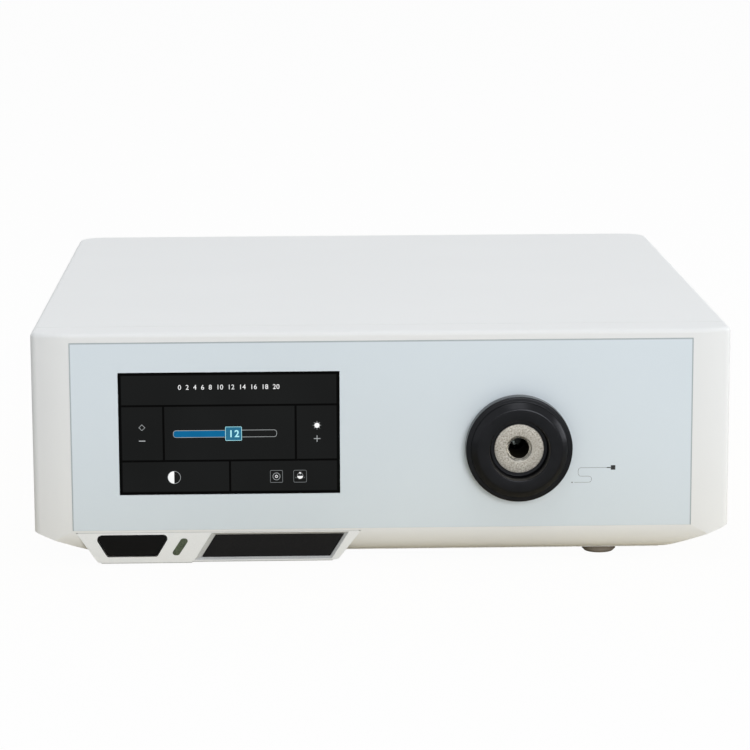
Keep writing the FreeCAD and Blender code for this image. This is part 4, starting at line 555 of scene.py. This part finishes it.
# %% [markdown]
# ## Picture on the screen
# The touch screen shows dark fields parted by black lines, a blue slider with its number, and small
# white signs. An image texture would do it, but here each field and sign is a thin plate of its own on
# the glass, a twentieth of a millimetre thick, which stays sharp at any size. Every plate starts as a
# grid of one face or a circle, gets its corners rounded by a bevel, and loses its middle where only an
# outline is wanted.

# %% Plates for the picture
PLATE = 0.05
FACING_FRONT = Matrix.Rotation(math.pi / 2, 4, "X")


def thicken(shape, thick, place):
    """Gives a flat shape its thickness and puts it in its place."""
    grown = bmesh.ops.extrude_face_region(shape, geom=shape.faces[:])
    moved = [item for item in grown["geom"] if isinstance(item, bmesh.types.BMVert)]
    bmesh.ops.translate(shape, vec=(0, 0, thick), verts=moved)
    bmesh.ops.transform(shape, matrix=place, verts=shape.verts)
    return shape


def raise_plate(shape, x, z, face, turn=0.0, thick=PLATE):
    """Makes a plate of a flat shape on a face that looks to the front, turned in its plane."""
    place = Matrix.Translation((x, face, z)) @ FACING_FRONT @ Matrix.Rotation(turn, 4, "Z")
    return thicken(shape, thick, place)


def hollow(shape, line):
    """Keeps only the border of a one-faced shape."""
    middle = shape.faces[:]
    bmesh.ops.inset_region(shape, faces=middle, thickness=line, use_boundary=True, use_even_offset=True)
    bmesh.ops.delete(shape, geom=middle, context="FACES")


def tile(width, height, corner=0.0, line=0.0):
    """A flat rectangle with rounded corners, or only its outline."""
    shape = bmesh.new()
    bmesh.ops.create_grid(shape, x_segments=1, y_segments=1, size=0.5)
    bmesh.ops.scale(shape, vec=(width, height, 1), verts=shape.verts)
    if corner:
        bmesh.ops.bevel(
            shape, geom=shape.verts[:], offset=corner, affect="VERTICES",
            segments=6, profile=0.5, material=-1,
        )
    if line:
        hollow(shape, line)
    return shape


# %% [markdown]
# A lit screen makes its own light, so the inks of the picture are emission with a strength of 1, at
# which a colour renders as it is written. Their black base keeps room light off them.

# %% Lit inks
def lit(name, dark, light, size):
    """Light of the display: two close shades that drift over a size in millimetres."""
    made, tree, shader, place = start_material(
        name, Base_Color="000000", Roughness=0.12, Emission_Strength=1.0, Specular_IOR_Level=0.05
    )
    drift = add_node(tree, "TexNoise", {"Vector": place, "Scale": 1 / (size * MM), "Detail": 1.0})
    shade = add_node(tree, "ValToRGB", {"Fac": drift.outputs["Fac"]}, [(0.3, dark), (0.7, light)])
    tree.links.new(shade.outputs["Color"], shader.inputs["Emission Color"])
    return made


lit_field = lit("picture_dark_field", "181919", "1B1C1C", 40)
lit_white = lit("picture_white", "F2F4F4", "FFFFFF", 6)
lit_line = lit("picture_thin_line", "A2A6A7", "B4B8B9", 6)
lit_blue = lit("picture_blue", "0A6190", "0C6999", 12)
lit_knob = lit("picture_knob_blue", "276A87", "2F7290", 6)
lit_cyan = lit("picture_pale_cyan", "A9F0FA", "C4F8FE", 4)
lit_faint = lit("picture_faint_line", "7C8081", "8A8E8F", 6)

# %% [markdown]
# Six dark fields fill the window: a header, three fields side by side with the slider in the middle
# one, and two below. Their edges are shares of the window, and each field is a tile a little smaller
# than its share, so the black glass between them draws the lines.

# %% Places on the window
window_width = glass_high.x - glass_low.x
window_height = glass_high.z - glass_low.z
print("window in millimetres:", round(window_width, 1), "by", round(window_height, 1))


def on_window(u, v):
    """A place on the window from shares of its width and height, from its top left corner."""
    return glass_low.x + u * window_width, glass_high.z - v * window_height


# %% Dark fields of the picture
def gather(shapes):
    """Joins several shapes into one."""
    whole = bmesh.new()
    for shape in shapes:
        mesh = bpy.data.meshes.new("part")
        shape.to_mesh(mesh)
        shape.free()
        whole.from_mesh(mesh)
        bpy.data.meshes.remove(mesh)
    return whole


border, gap = 0.9, 1.05
left_edge, right_edge = border / window_width, 1 - border / window_width
top_edge, bottom_edge = border / window_height, 1 - border / window_height
header_line, middle_line, left_line, right_line, lower_line = 0.271, 0.724, 0.202, 0.801, 0.501
field_edges = [
    (left_edge, right_edge, top_edge, header_line),
    (left_edge, left_line, header_line, middle_line),
    (left_line, right_line, header_line, middle_line),
    (right_line, right_edge, header_line, middle_line),
    (left_edge, lower_line, middle_line, bottom_edge),
    (lower_line, right_edge, middle_line, bottom_edge),
]
fields = []
for u_low, u_high, v_low, v_high in field_edges:
    x, z = on_window((u_low + u_high) / 2, (v_low + v_high) / 2)
    width, height = (u_high - u_low) * window_width - gap, (v_high - v_low) * window_height - gap
    fields.append(raise_plate(tile(width, height), x, z, GLASS_FACE))
finish_piece("screen_fields", gather(fields), lit_field)
FIELD_FACE = GLASS_FACE - PLATE

# %% [markdown]
# The slider is a rounded outline with a blue bar from its left end to the knob. The knob lies one plate
# above the bar, and its rim and its number one plate above the knob, so no two faces fall together.

# %% Slider of the picture
slider_left, slider_right, slider_v = 0.2455, 0.7155, 0.503
knob_left, knob_right = 0.4815, 0.5565
bar_height, knob_height, line_width = 3.7, 7.1, 0.22
bar_corner, fill_corner, knob_corner = 1.4, 1.1, 0.5
bar_x, bar_z = on_window((slider_left + slider_right) / 2, slider_v)
bar_width = (slider_right - slider_left) * window_width
fill_width = (knob_left - slider_left) * window_width - line_width
fill_x, _ = on_window((slider_left + knob_left) / 2, slider_v)
knob_x, _ = on_window((knob_left + knob_right) / 2, slider_v)
knob_width = (knob_right - knob_left) * window_width
bar = tile(bar_width, bar_height, bar_corner, line_width)
finish_piece("slider_outline", raise_plate(bar, bar_x, bar_z, FIELD_FACE), lit_line)
fill = tile(fill_width, bar_height - 2 * line_width, fill_corner)
finish_piece(
    "slider_fill", raise_plate(fill, fill_x + line_width / 2, bar_z, FIELD_FACE), lit_blue
)
knob = tile(knob_width, knob_height, knob_corner)
finish_piece("slider_knob", raise_plate(knob, knob_x, bar_z, FIELD_FACE - PLATE), lit_knob)
RIM_FACE = FIELD_FACE - 2 * PLATE
rim = tile(knob_width, knob_height, knob_corner, line_width)
finish_piece("slider_knob_rim", raise_plate(rim, knob_x, bar_z, RIM_FACE), lit_cyan)


# %% [markdown]
# Numbers are set with a text object, because a font is drawn better than one could model it. The text
# becomes a mesh before its place is applied, and then it is a plate like the others.

# %% Lettering
def lettering(text, height, spacing=1.0, weight=0.0):
    """Plain numbers as a flat shape, centred, with the height of a digit and a bolder stroke by weight."""
    curve = bpy.data.curves.new("lettering", "FONT")
    curve.body, curve.align_x, curve.align_y = text, "CENTER", "CENTER"
    curve.space_character, curve.offset = spacing, weight
    written = bpy.data.objects.new("lettering", curve)
    bpy.context.scene.collection.objects.link(written)
    bpy.context.view_layer.update()
    mesh = bpy.data.meshes.new_from_object(written)
    shape = bmesh.new()
    shape.from_mesh(mesh)
    bpy.data.objects.remove(written)
    bpy.data.curves.remove(curve)
    bpy.data.meshes.remove(mesh)
    bmesh.ops.remove_doubles(shape, verts=shape.verts, dist=0.0001)
    low = min(vert.co.y for vert in shape.verts)
    high = max(vert.co.y for vert in shape.verts)
    bmesh.ops.translate(shape, vec=(0, -(low + high) / 2, 0), verts=shape.verts)
    size = height / (high - low)
    bmesh.ops.scale(shape, vec=(size, size, 1), verts=shape.verts)
    return shape


# %% Numbers of the picture
header_x, header_z = on_window(0.5, 0.1205)
scale_height, knob_digit_height, knob_digit_shift = 2.4, 3.6, 0.2
scale_numbers = "  ".join(str(number) for number in range(0, 21, 2))
scale_text = lettering(scale_numbers, scale_height, spacing=1.04)
header = raise_plate(scale_text, header_x, header_z, FIELD_FACE)
finish_piece("header_scale", header, lit_white)
knob_text = lettering("12", knob_digit_height, spacing=1.2, weight=0.022)
number = raise_plate(knob_text, knob_x + knob_digit_shift, bar_z, RIM_FACE)
finish_piece("slider_number", number, lit_cyan)

# %% [markdown]
# The signs are built of the same few shapes: tiles, discs and halves of discs, some of them hollow. They
# are gathered in three lists by how brightly they shine: full white, thin lines and faint lines.

# %% Discs and signs
def disc(radius, line=0.0, points=32):
    """A flat disc, or only its outline. With three points it is a triangle."""
    shape = bmesh.new()
    bmesh.ops.create_circle(shape, cap_ends=True, radius=radius, segments=points)
    if line:
        hollow(shape, line)
    return shape


signs, thin, faint = [], [], []


def sign(shape, u, v, turn=0.0, to=signs, dx=0.0, dz=0.0):
    """Puts a flat shape on the picture, at shares of the window and an offset in millimetres."""
    x, z = on_window(u, v)
    to.append(raise_plate(shape, x + dx, z + dz, FIELD_FACE, turn))


# %% Signs beside the slider
dim_u, bright_u, upper_v, lower_v = 0.1047, 0.8975, 0.4475, 0.5575
diamond_side, minus_width, minus_line = 2.3, 3.2, 0.45
sign(tile(diamond_side, diamond_side, 0, line_width), dim_u, upper_v, math.pi / 4, thin)
sign(tile(minus_width, minus_line), dim_u, lower_v, 0, thin)

sun_v, sun_radius, ray_length, ray_reach, rays = upper_v - 0.006, 1.3, 0.5, 1.8, 8
sign(disc(sun_radius, points=24), bright_u, sun_v)
for ray in range(rays):
    angle = ray * math.tau / rays
    dx, dz = ray_reach * math.cos(angle), ray_reach * math.sin(angle)
    sign(tile(ray_length, line_width), bright_u, sun_v, angle, thin, dx, dz)

plus_v, plus_arm, plus_line = lower_v - 0.007, 1.65, 0.36
sign(tile(2 * plus_arm, plus_line), bright_u, plus_v, 0, thin)
for side in (-1, 1):
    stroke = tile(plus_line, plus_arm - plus_line / 2)
    sign(stroke, bright_u, plus_v, 0, thin, 0, side * (plus_arm + plus_line / 2) / 2)

# %% [markdown]
# The lower row holds a half filled circle for contrast, a ring with a dot, and a lamp: a small triangle
# over a bowl. A plane through the middle of a disc cuts it in half.

# %% Half filled circle
def half_of(shape, direction):
    """Cuts away the half of a flat shape that lies in a direction from its middle."""
    bmesh.ops.bisect_plane(
        shape, geom=shape.verts[:] + shape.edges[:] + shape.faces[:], dist=0.0001,
        plane_co=(0, 0, 0), plane_no=direction, clear_outer=True,
    )
    return shape


contrast_u, ring_u, lamp_u, icon_v = 0.2473, 0.7116, 0.819, 0.8595
half_radius, circle_radius, circle_line = 3.1, 3.25, 0.2
sign(half_of(disc(half_radius, points=40), (1, 0, 0)), contrast_u, icon_v)
sign(disc(circle_radius, circle_line, 40), contrast_u, icon_v, 0, thin)

# %% Ring in a frame
frame_side, frame_corner, frame_line, ring_radius, dot_radius, dot_line = 6.3, 0.5, 0.18, 1.9, 0.75, 0.3
sign(tile(frame_side, frame_side, frame_corner, frame_line), ring_u, icon_v, 0, faint)
sign(disc(ring_radius, line_width), ring_u, icon_v, 0, thin)
sign(disc(dot_radius, dot_line, 20), ring_u, icon_v)

# %% Lamp in a frame
lamp_frame, lamp_corner, lamp_line, tip_radius, tip_up = 6.6, 0.8, 0.17, 0.7, 1.65
bowl_radius, bowl_up, rim_radius, rim_line, rim_up = 1.45, 0.1, 1.5, 0.16, 0.2
foot_length, foot_line, foot_out, foot_down, foot_turn = 0.8, 0.2, 2.1, 0.7, 0.5
sign(tile(lamp_frame, frame_side, lamp_corner, lamp_line), lamp_u, icon_v, 0, faint)
sign(disc(tip_radius, points=3), lamp_u, icon_v, math.pi, signs, 0, tip_up)
sign(half_of(disc(bowl_radius, points=24), (0, 1, 0)), lamp_u, icon_v, 0, signs, 0, bowl_up)
sign(half_of(disc(rim_radius, rim_line, 24), (0, -1, 0)), lamp_u, icon_v, 0, thin, 0, rim_up)
for side in (-1, 1):
    foot = tile(foot_length, foot_line)
    sign(foot, lamp_u, icon_v, side * foot_turn, faint, side * foot_out, -foot_down)
finish_piece("screen_signs", gather(signs), lit_white)
finish_piece("screen_outlines", gather(thin), lit_line)
finish_piece("screen_faint_lines", gather(faint), lit_faint)

# %% [markdown]
# ## Printing on the inlay
# Right of the port a small pictogram shows a light guide and its plug. It is screen printed in black: a
# square for the plug, a short stub, and a thin line that snakes down to a dot.

# %% Light guide pictogram
ink_thick, snake_line, snake_overlap = 0.03, 0.13, 0.05
plug_x, plug_z, plug_side = 115.85, 47.85, 2.3
stub_length, stub_line, stub_reach, line_reach = 1.9, 0.45, 2.2, 3.2
bend_left, bend_right, middle_z, lowest_z = 98.3, 105.0, 43.5, 40.35
line_end, dot_x, end_dot = 96.4, 95.25, 0.32
snake = rounded(
    [(plug_x - line_reach, plug_z), (bend_left, plug_z), (bend_left, middle_z), (bend_right, middle_z),
     (bend_right, lowest_z), (line_end, lowest_z)],
    [0, 1.5, 1.5, 1.3, 1.3, 0],
)
printing = [
    raise_plate(tile(plug_side, plug_side), plug_x, plug_z, PANEL_FACE, thick=ink_thick),
    raise_plate(tile(stub_length, stub_line), plug_x - stub_reach, plug_z, PANEL_FACE, thick=ink_thick),
    raise_plate(disc(end_dot, points=16), dot_x, lowest_z, PANEL_FACE, thick=ink_thick),
]
for (x0, z0), (x1, z1) in zip(snake, snake[1:]):
    length, turn = math.hypot(x1 - x0, z1 - z0), math.atan2(z1 - z0, x1 - x0)
    stroke = tile(length + snake_overlap, snake_line)
    printing.append(raise_plate(stroke, (x0 + x1) / 2, (z0 + z1) / 2, PANEL_FACE, turn, ink_thick))
finish_piece("light_guide_sign", gather(printing), print_black)

# %% [markdown]
# ## Painted shade round the power key
# A flat black ring round the power key stands for the dark gap between the key and the pod: painted
# shade. It is a flat ring between two outlines that widen upwards as the key does: the key's own edge,
# and one a little outside it.

# %% Sheets from outlines
def sheet(*outlines):
    """A flat shape from closed outlines: the first is its border, and each other one is a hole."""
    shape = bmesh.new()
    for outline in outlines:
        ring = [shape.verts.new((x, z, 0)) for x, z in outline]
        for pair in zip(ring, ring[1:] + ring[:1]):
            shape.edges.new(pair)
    bmesh.ops.triangle_fill(shape, use_beauty=True, edges=shape.edges[:])
    return shape


# %% Painted shade round the power key
key_x, key_foot, key_top = pod_low.x + 27.8, pod_low.z + 3.1, pod_low.z + 14.1
hole_foot, hole_top, shade_foot, shade_top, shade_over = 12.11, 18.35, 12.5, 19.3, 0.15


def key_trapezoid(foot_half, top_half, grown, radii):
    """The key's outline round its own middle, with its corners rounded."""
    low, high = key_foot - grown, key_top + grown
    foot = [(key_x - foot_half, low), (key_x + foot_half, low)]
    top = [(key_x + top_half, high), (key_x - top_half, high)]
    return rounded(foot + top, radii)


hole_edge = key_trapezoid(hole_foot, hole_top, 0.0, [1.9] * 4)
shade_edge = key_trapezoid(shade_foot, shade_top, shade_over, [1.5, 1.5, 2.0, 2.4])
# The ring is painted shade of the gap round the key.
key_gap_shade = raise_plate(sheet(shade_edge, hole_edge), 0, 0, POD_FACE)
finish_piece("power_key_gap_shade", key_gap_shade, key_black)

# %% [markdown]
# A lip also runs along the pod's lower edge, in two lengths at two heights, as the pod's foot has a
# small step. A thin strip closes the gap between the pod and the chin above it. Each is a flat outline
# that is thickened inwards.

# %% Lip and strip of the pod
left_foot, step_x, right_foot = pod_low.x + 11.9, pod_low.x + 57.8, pod_high.x - 13.6
left_slope, right_slope, lip_drop, step = 0.6, 0.8, 0.5, 0.5
lip_depth, lip_setback = 6.0, 0.25
left_top, right_top = pod_low.z, pod_low.z + step
left_lip = [
    (left_foot, left_top), (left_foot + left_slope, left_top - lip_drop), (step_x, left_top - lip_drop),
    (step_x, left_top),
]
right_lip = [
    (step_x, right_top), (step_x, right_top - lip_drop), (right_foot - right_slope, right_top - lip_drop),
    (right_foot, right_top),
]
lips = [
    raise_plate(sheet(lip), 0, 0, POD_FACE + lip_depth, thick=lip_depth - lip_setback)
    for lip in (left_lip, right_lip)
]
finish_piece("pod_lower_lip", gather(lips), pod_white)

strip_inset, strip_height, strip_rise, strip_depth, strip_thick = 2.0, 0.5, 0.15, 1.0, 0.85
strip = tile(pod_high.x - pod_low.x - strip_inset, strip_height)
strip_x, strip_z = (pod_low.x + pod_high.x) / 2, pod_high.z + strip_rise
gap_strip = raise_plate(strip, strip_x, strip_z, POD_FACE + strip_depth, thick=strip_thick)
finish_piece("pod_gap_strip", gap_strip, pod_white)

# %% [markdown]
# The status lamp is a smoked light pipe, slanted like the edges of the key and the plate beside it. Its
# head covers its hole, so a plate with rounded corners is all of it that shows.

# %% Status lamp
lamp_foot, lamp_head, lamp_lean = pod_low.z + 3.6, pod_low.z + 12.2, 0.66
lamp_left, lamp_width, lamp_back, lamp_thick = pod_low.x + 46.95, 4.2, 0.3, 0.4
lamp_run = lamp_lean * (lamp_head - lamp_foot)
lamp_outline = [
    (lamp_left, lamp_foot), (lamp_left + lamp_width, lamp_foot),
    (lamp_left + lamp_width + lamp_run, lamp_head), (lamp_left + lamp_run, lamp_head),
]
lamp_head_plate = raise_plate(
    sheet(rounded(lamp_outline, [1.3, 1.5, 1.3, 1.5])), 0, 0, POD_FACE + lamp_back, thick=lamp_thick
)
finish_piece("status_lamp", lamp_head_plate, lamp_smoked, stands_for=["status_lens"])

# %% [markdown]
# ## Rear side
# The screws that are in sight have pan heads with a cross recess. The CAD heads are plain discs, so each
# gets a cap with a cross cut out of it, and the floor of the cross is a dark plate: painted shade, as a
# recess that small is dark.
# The places of the screws follow from their patterns: the four holes of a fan's flange, the two of the
# inlet and the corners of the rear panel.

# %% Plates on the rear
FACING_REAR = Matrix.Rotation(math.pi, 4, "Z") @ FACING_FRONT


def rear_plate(shape, x, z, face, thick, lean=0.0):
    """Makes a plate of a flat shape on a face that looks to the rear, leaning back by an angle."""
    place = Matrix.Translation((x, face, z)) @ Matrix.Rotation(lean, 4, "X") @ FACING_REAR
    return thicken(shape, thick, place)


def cross(half, reach):
    """The outline of an upright cross, from the half width and the reach of its arms."""
    arm = [(reach, -half), (reach, half), (half, half)]
    turns = [Matrix.Rotation(step * math.pi / 2, 2) for step in range(4)]
    return [tuple(turn @ Vector(point)) for turn in turns for point in arm]


def spokes(radius, count, start=0.0):
    """Evenly spaced points on a circle."""
    angles = [start + step * math.tau / count for step in range(count)]
    return [(radius * math.cos(angle), radius * math.sin(angle)) for angle in angles]


def either_side(middle, spacing):
    """The two places that lie evenly about a middle."""
    return middle - spacing / 2, middle + spacing / 2


# %% Screw heads with a cross recess
HEAD_RADIUS, CAP, FLOOR, SLOT_HALF, SLOT_REACH, HEAD_POINTS = 2.7, 0.4, 0.02, 0.38, 1.75, 28
REAR_Z, FAN_X, FAN_HOLES, INLET_X, INLET_HOLES = 63, 68, 71.5, -110, 39
COVER_Z, COVER_WIDE, COVER_HIGH = 65, 305, 70
head_places = {
    "cover_screws": [(x, z) for x in either_side(0, COVER_WIDE) for z in either_side(COVER_Z, COVER_HIGH)],
    "fan_screws": [(x, z) for x in either_side(FAN_X, FAN_HOLES) for z in either_side(REAR_Z, FAN_HOLES)],
    "inlet_screws": [(x, REAR_Z) for x in either_side(INLET_X, INLET_HOLES)],
}
head_circle, slot_outline = spokes(HEAD_RADIUS, HEAD_POINTS), cross(SLOT_HALF, SLOT_REACH)
caps, slots = [], []
for node, places in head_places.items():
    head_face = corners(node)[1].y
    for x, z in places:
        caps.append(rear_plate(sheet(head_circle, slot_outline), x, z, head_face, CAP))
        slots.append(rear_plate(sheet(slot_outline), x, z, head_face, FLOOR))
finish_piece("screw_caps", gather(caps), screw_zinc)
finish_piece("screw_recesses", gather(slots), recess_dark)

# %% [markdown]
# The mains inlet carries the marks for on and off on the two slopes of its rocker, and the sign of a
# fuse on the drawer below. The stud beside it has the sign for equal potential: a stem on an open
# triangle, in a circle. Each is printed, so it is a plate as thin as ink.

# %% Marks on the rocker
rocker_low, rocker_high = corners("rocker_switch")
inlet_x = (rocker_low.x + rocker_high.x) / 2
on_z, on_face_y, on_slope, on_width, on_height = 85.6, 181.555, math.radians(5.2), 0.6, 3.4
off_z, off_face_y, off_slope, off_radius, off_line = 79.9, 182.93, math.radians(22.4), 1.6, 0.55
rocker_marks = [
    rear_plate(tile(on_width, on_height), inlet_x, on_z, on_face_y, ink_thick, on_slope),
    rear_plate(disc(off_radius, off_line), inlet_x, off_z, off_face_y, ink_thick, off_slope),
]
finish_piece("rocker_marks", gather(rocker_marks), print_white, body="mains_rocker")

# %% Sign on the fuse drawer
drawer_low, drawer_high = corners("fuse_drawer")
fuse_length, fuse_height, fuse_line, fuse_wire = 6.5, 2.4, 0.35, 9.5
drawer_z, drawer_face = (drawer_low.z + drawer_high.z) / 2, drawer_high.y
fuse_sign = [
    rear_plate(tile(fuse_length, fuse_height, 0, fuse_line), inlet_x, drawer_z, drawer_face, ink_thick),
    rear_plate(tile(fuse_wire, fuse_line), inlet_x, drawer_z, drawer_face, ink_thick),
]
finish_piece("fuse_sign", gather(fuse_sign), print_white, body="fuse_tray")

# %% Sign beside the stud
stud_low, stud_high = corners("equipotential_stud")
rear_face = corners("rear_panel")[1].y
sign_rise, sign_line, point_down, outer_corner, inner_corner = 15, 0.45, -math.pi / 2, 3.4, 2.5
stem_height, stem_rise, round_radius, round_rise = 3.0, 3.2, 6.0, 0.7
stud_x, sign_z = (stud_low.x + stud_high.x) / 2, (stud_low.z + stud_high.z) / 2 + sign_rise
triangle = sheet(spokes(outer_corner, 3, point_down), spokes(inner_corner, 3, point_down))
stem, circle = tile(sign_line, stem_height), disc(round_radius, sign_line, 40)
stud_sign = [
    rear_plate(triangle, stud_x, sign_z, rear_face, ink_thick),
    rear_plate(stem, stud_x, sign_z + stem_rise, rear_face, ink_thick),
    rear_plate(circle, stud_x, sign_z + round_rise, rear_face, ink_thick),
]
finish_piece("stud_sign", gather(stud_sign), print_black)

# %% [markdown]
# ## Floor
# A pale floor under soft studio light is the plainest stage. The camera sees it nearly plain white, with
# a few hundredths of its lit surface mixed in, so a trace of the shadow stays, and so does a look
# through glass. Every other ray sees its lit surface alone. Near the case its colour is darker and
# warmer: painted shade of the floor in the case's shadow, whose warm bounce shows on the chin and under
# the pod.

# %% Floor sheet
STAGE_SIZE = 40.0
floor_shape = bmesh.new()
bmesh.ops.create_grid(floor_shape, x_segments=1, y_segments=1, size=STAGE_SIZE / 2)
floor_mesh = bpy.data.meshes.new("floor")
floor_shape.to_mesh(floor_mesh)
floor_shape.free()
floor = bpy.data.objects.new("floor", floor_mesh)
bpy.context.scene.collection.objects.link(floor)
print("floor side in metres:", STAGE_SIZE)

# %% Floor paint
SHADE_START, SHADE_END, FIBRE, WHITE_SHARE = 240, 420, 4, 0.97
floor_paint = bpy.data.materials.new("floor_white_paper")
floor_paint.use_nodes = True
floor_paint.node_tree.nodes.clear()
tree = floor_paint.node_tree
place = add_node(tree, "TexCoord").outputs["Object"]
fibre_grain = {"Vector": place, "Scale": 1 / (FIBRE * MM), "Detail": 2.0}
fibre = add_node(tree, "TexNoise", fibre_grain).outputs["Fac"]
distance = add_node(tree, "VectorMath", {0: place}, operation="LENGTH").outputs["Value"]
band = {"Value": distance, "From Min": SHADE_START * MM, "From Max": SHADE_END * MM}
away = add_node(tree, "MapRange", band).outputs["Result"]
# Darker, warmer paper near the case is painted shade; farther out it turns an even light grey.
near_shade = add_node(tree, "ValToRGB", {"Fac": fibre}, [(0.0, "DCD1B6"), (1.0, "E3D8BE")]).outputs["Color"]
sheet_colour = add_node(tree, "Mix", {SHARE: away, FIRST: near_shade, SECOND: "E2E1DF"}, data_type="RGBA")
paper = add_node(tree, "BsdfDiffuse", {"Color": sheet_colour.outputs[MIXED]})
glow = add_node(tree, "Emission", {"Color": "FFFFFF", "Strength": 1.0})
path = add_node(tree, "LightPath").outputs
looks = {0: path["Is Camera Ray"], 1: path["Is Transmission Ray"]}
seen = add_node(tree, "Math", looks, operation="MAXIMUM").outputs[0]
share = add_node(tree, "Math", {0: seen, 1: WHITE_SHARE}, operation="MULTIPLY").outputs[0]
mixed = add_node(tree, "MixShader", {"Fac": share, 1: paper.outputs[0], 2: glow.outputs[0]})
add_node(tree, "OutputMaterial", {"Surface": mixed.outputs[0]})
floor_mesh.materials.append(floor_paint)
print("material", floor_paint.name)

# %% [markdown]
# ## World
# The world is white where the camera, a reflection or a look through glass meets it. As a source of
# light it is grey: dim in front of the case and lighter behind, because diffuse light from the front
# would draw a dark ring round the port, where the collar stands in its way.

# %% World
world = bpy.data.worlds.new("studio")
world.use_nodes = True
world.node_tree.nodes.clear()
tree = world.node_tree
path = add_node(tree, "LightPath").outputs
seen = path["Is Camera Ray"]
for ray_kind in ("Is Glossy Ray", "Is Transmission Ray"):
    seen = add_node(tree, "Math", {0: seen, 1: path[ray_kind]}, operation="MAXIMUM").outputs[0]
direction = add_node(tree, "TexCoord").outputs["Generated"]
towards_back = add_node(tree, "SeparateXYZ", {"Vector": direction}).outputs["Y"]
room = add_node(tree, "ValToRGB", {"Fac": towards_back}, [(0.0, "8E9194"), (0.5, "CBCED1")])
light = {SHARE: seen, FIRST: room.outputs["Color"], SECOND: "FFFFFF"}
colour = add_node(tree, "Mix", light, data_type="RGBA").outputs[MIXED]
sky = add_node(tree, "Background", {"Color": colour})
add_node(tree, "OutputWorld", {"Surface": sky.outputs[0]})
bpy.context.scene.world = world
bpy.context.scene.view_settings.view_transform = "Standard"
print("world", world.name)

# %% [markdown]
# ## Lamps
# The main light is a large softbox in front, a little to the right. One overhead lights the top, a small
# one above the front draws the bright edge of the collar's shoulder, and one far to the right opens the
# right cheek. Large lamps keep every shadow soft.

# %% Lamps
TARGET = Vector((0, 0, 0.06))


def softbox(name, place, size, power):
    """A square area lamp that faces the case."""
    lamp = bpy.data.lights.new(name, "AREA")
    lamp.size, lamp.energy = size, power
    made = bpy.data.objects.new(name, lamp)
    made.location = place
    made.rotation_mode = "QUATERNION"
    made.rotation_quaternion = (TARGET - Vector(place)).to_track_quat("-Z", "Y")
    bpy.context.scene.collection.objects.link(made)
    print(name, power, "watts")


softbox("front_lamp", (0.7, -2.95, 0.9), 1.3, 38)
softbox("top_lamp", (0.0, 0.25, 2.4), 1.6, 13.5)
softbox("rim_lamp", (0.1, -0.95, 2.2), 0.9, 4.5)
softbox("right_lamp", (2.5, 0.1, 0.7), 1.2, 21)

# %% [markdown]
# ## Camera
# A long lens from a little over a metre and a half away looks slightly down on the case. Its place is in
# millimetres and its angles are in degrees, and the axes worked out from them turn the camera.

# %% Camera
CAMERA_PLACE = Vector((-44.2, -1607.65, 351.7)) * MM
yaw, pitch, roll = (math.radians(angle) for angle in (1.64, 10.2, -0.24))
FOCAL_PIXELS, FRAME_PIXELS, SENSOR = 2898, 750, 36.0
forward = Vector((math.sin(yaw) * math.cos(pitch), math.cos(yaw) * math.cos(pitch), -math.sin(pitch)))
level_right = forward.cross(Vector((0, 0, 1))).normalized()
level_up = level_right.cross(forward)
right = level_right * math.cos(roll) + level_up * math.sin(roll)
up = level_up * math.cos(roll) - level_right * math.sin(roll)
camera_data = bpy.data.cameras.new("camera")
camera_data.sensor_width = SENSOR
camera_data.lens = SENSOR * FOCAL_PIXELS / FRAME_PIXELS
camera_data.clip_end = 60
camera = bpy.data.objects.new("camera", camera_data)
camera.matrix_world = Matrix.Translation(CAMERA_PLACE) @ Matrix((right, up, -forward)).transposed().to_4x4()
bpy.context.scene.collection.objects.link(camera)
bpy.context.scene.camera = camera
print("lens in millimetres:", round(camera_data.lens, 1))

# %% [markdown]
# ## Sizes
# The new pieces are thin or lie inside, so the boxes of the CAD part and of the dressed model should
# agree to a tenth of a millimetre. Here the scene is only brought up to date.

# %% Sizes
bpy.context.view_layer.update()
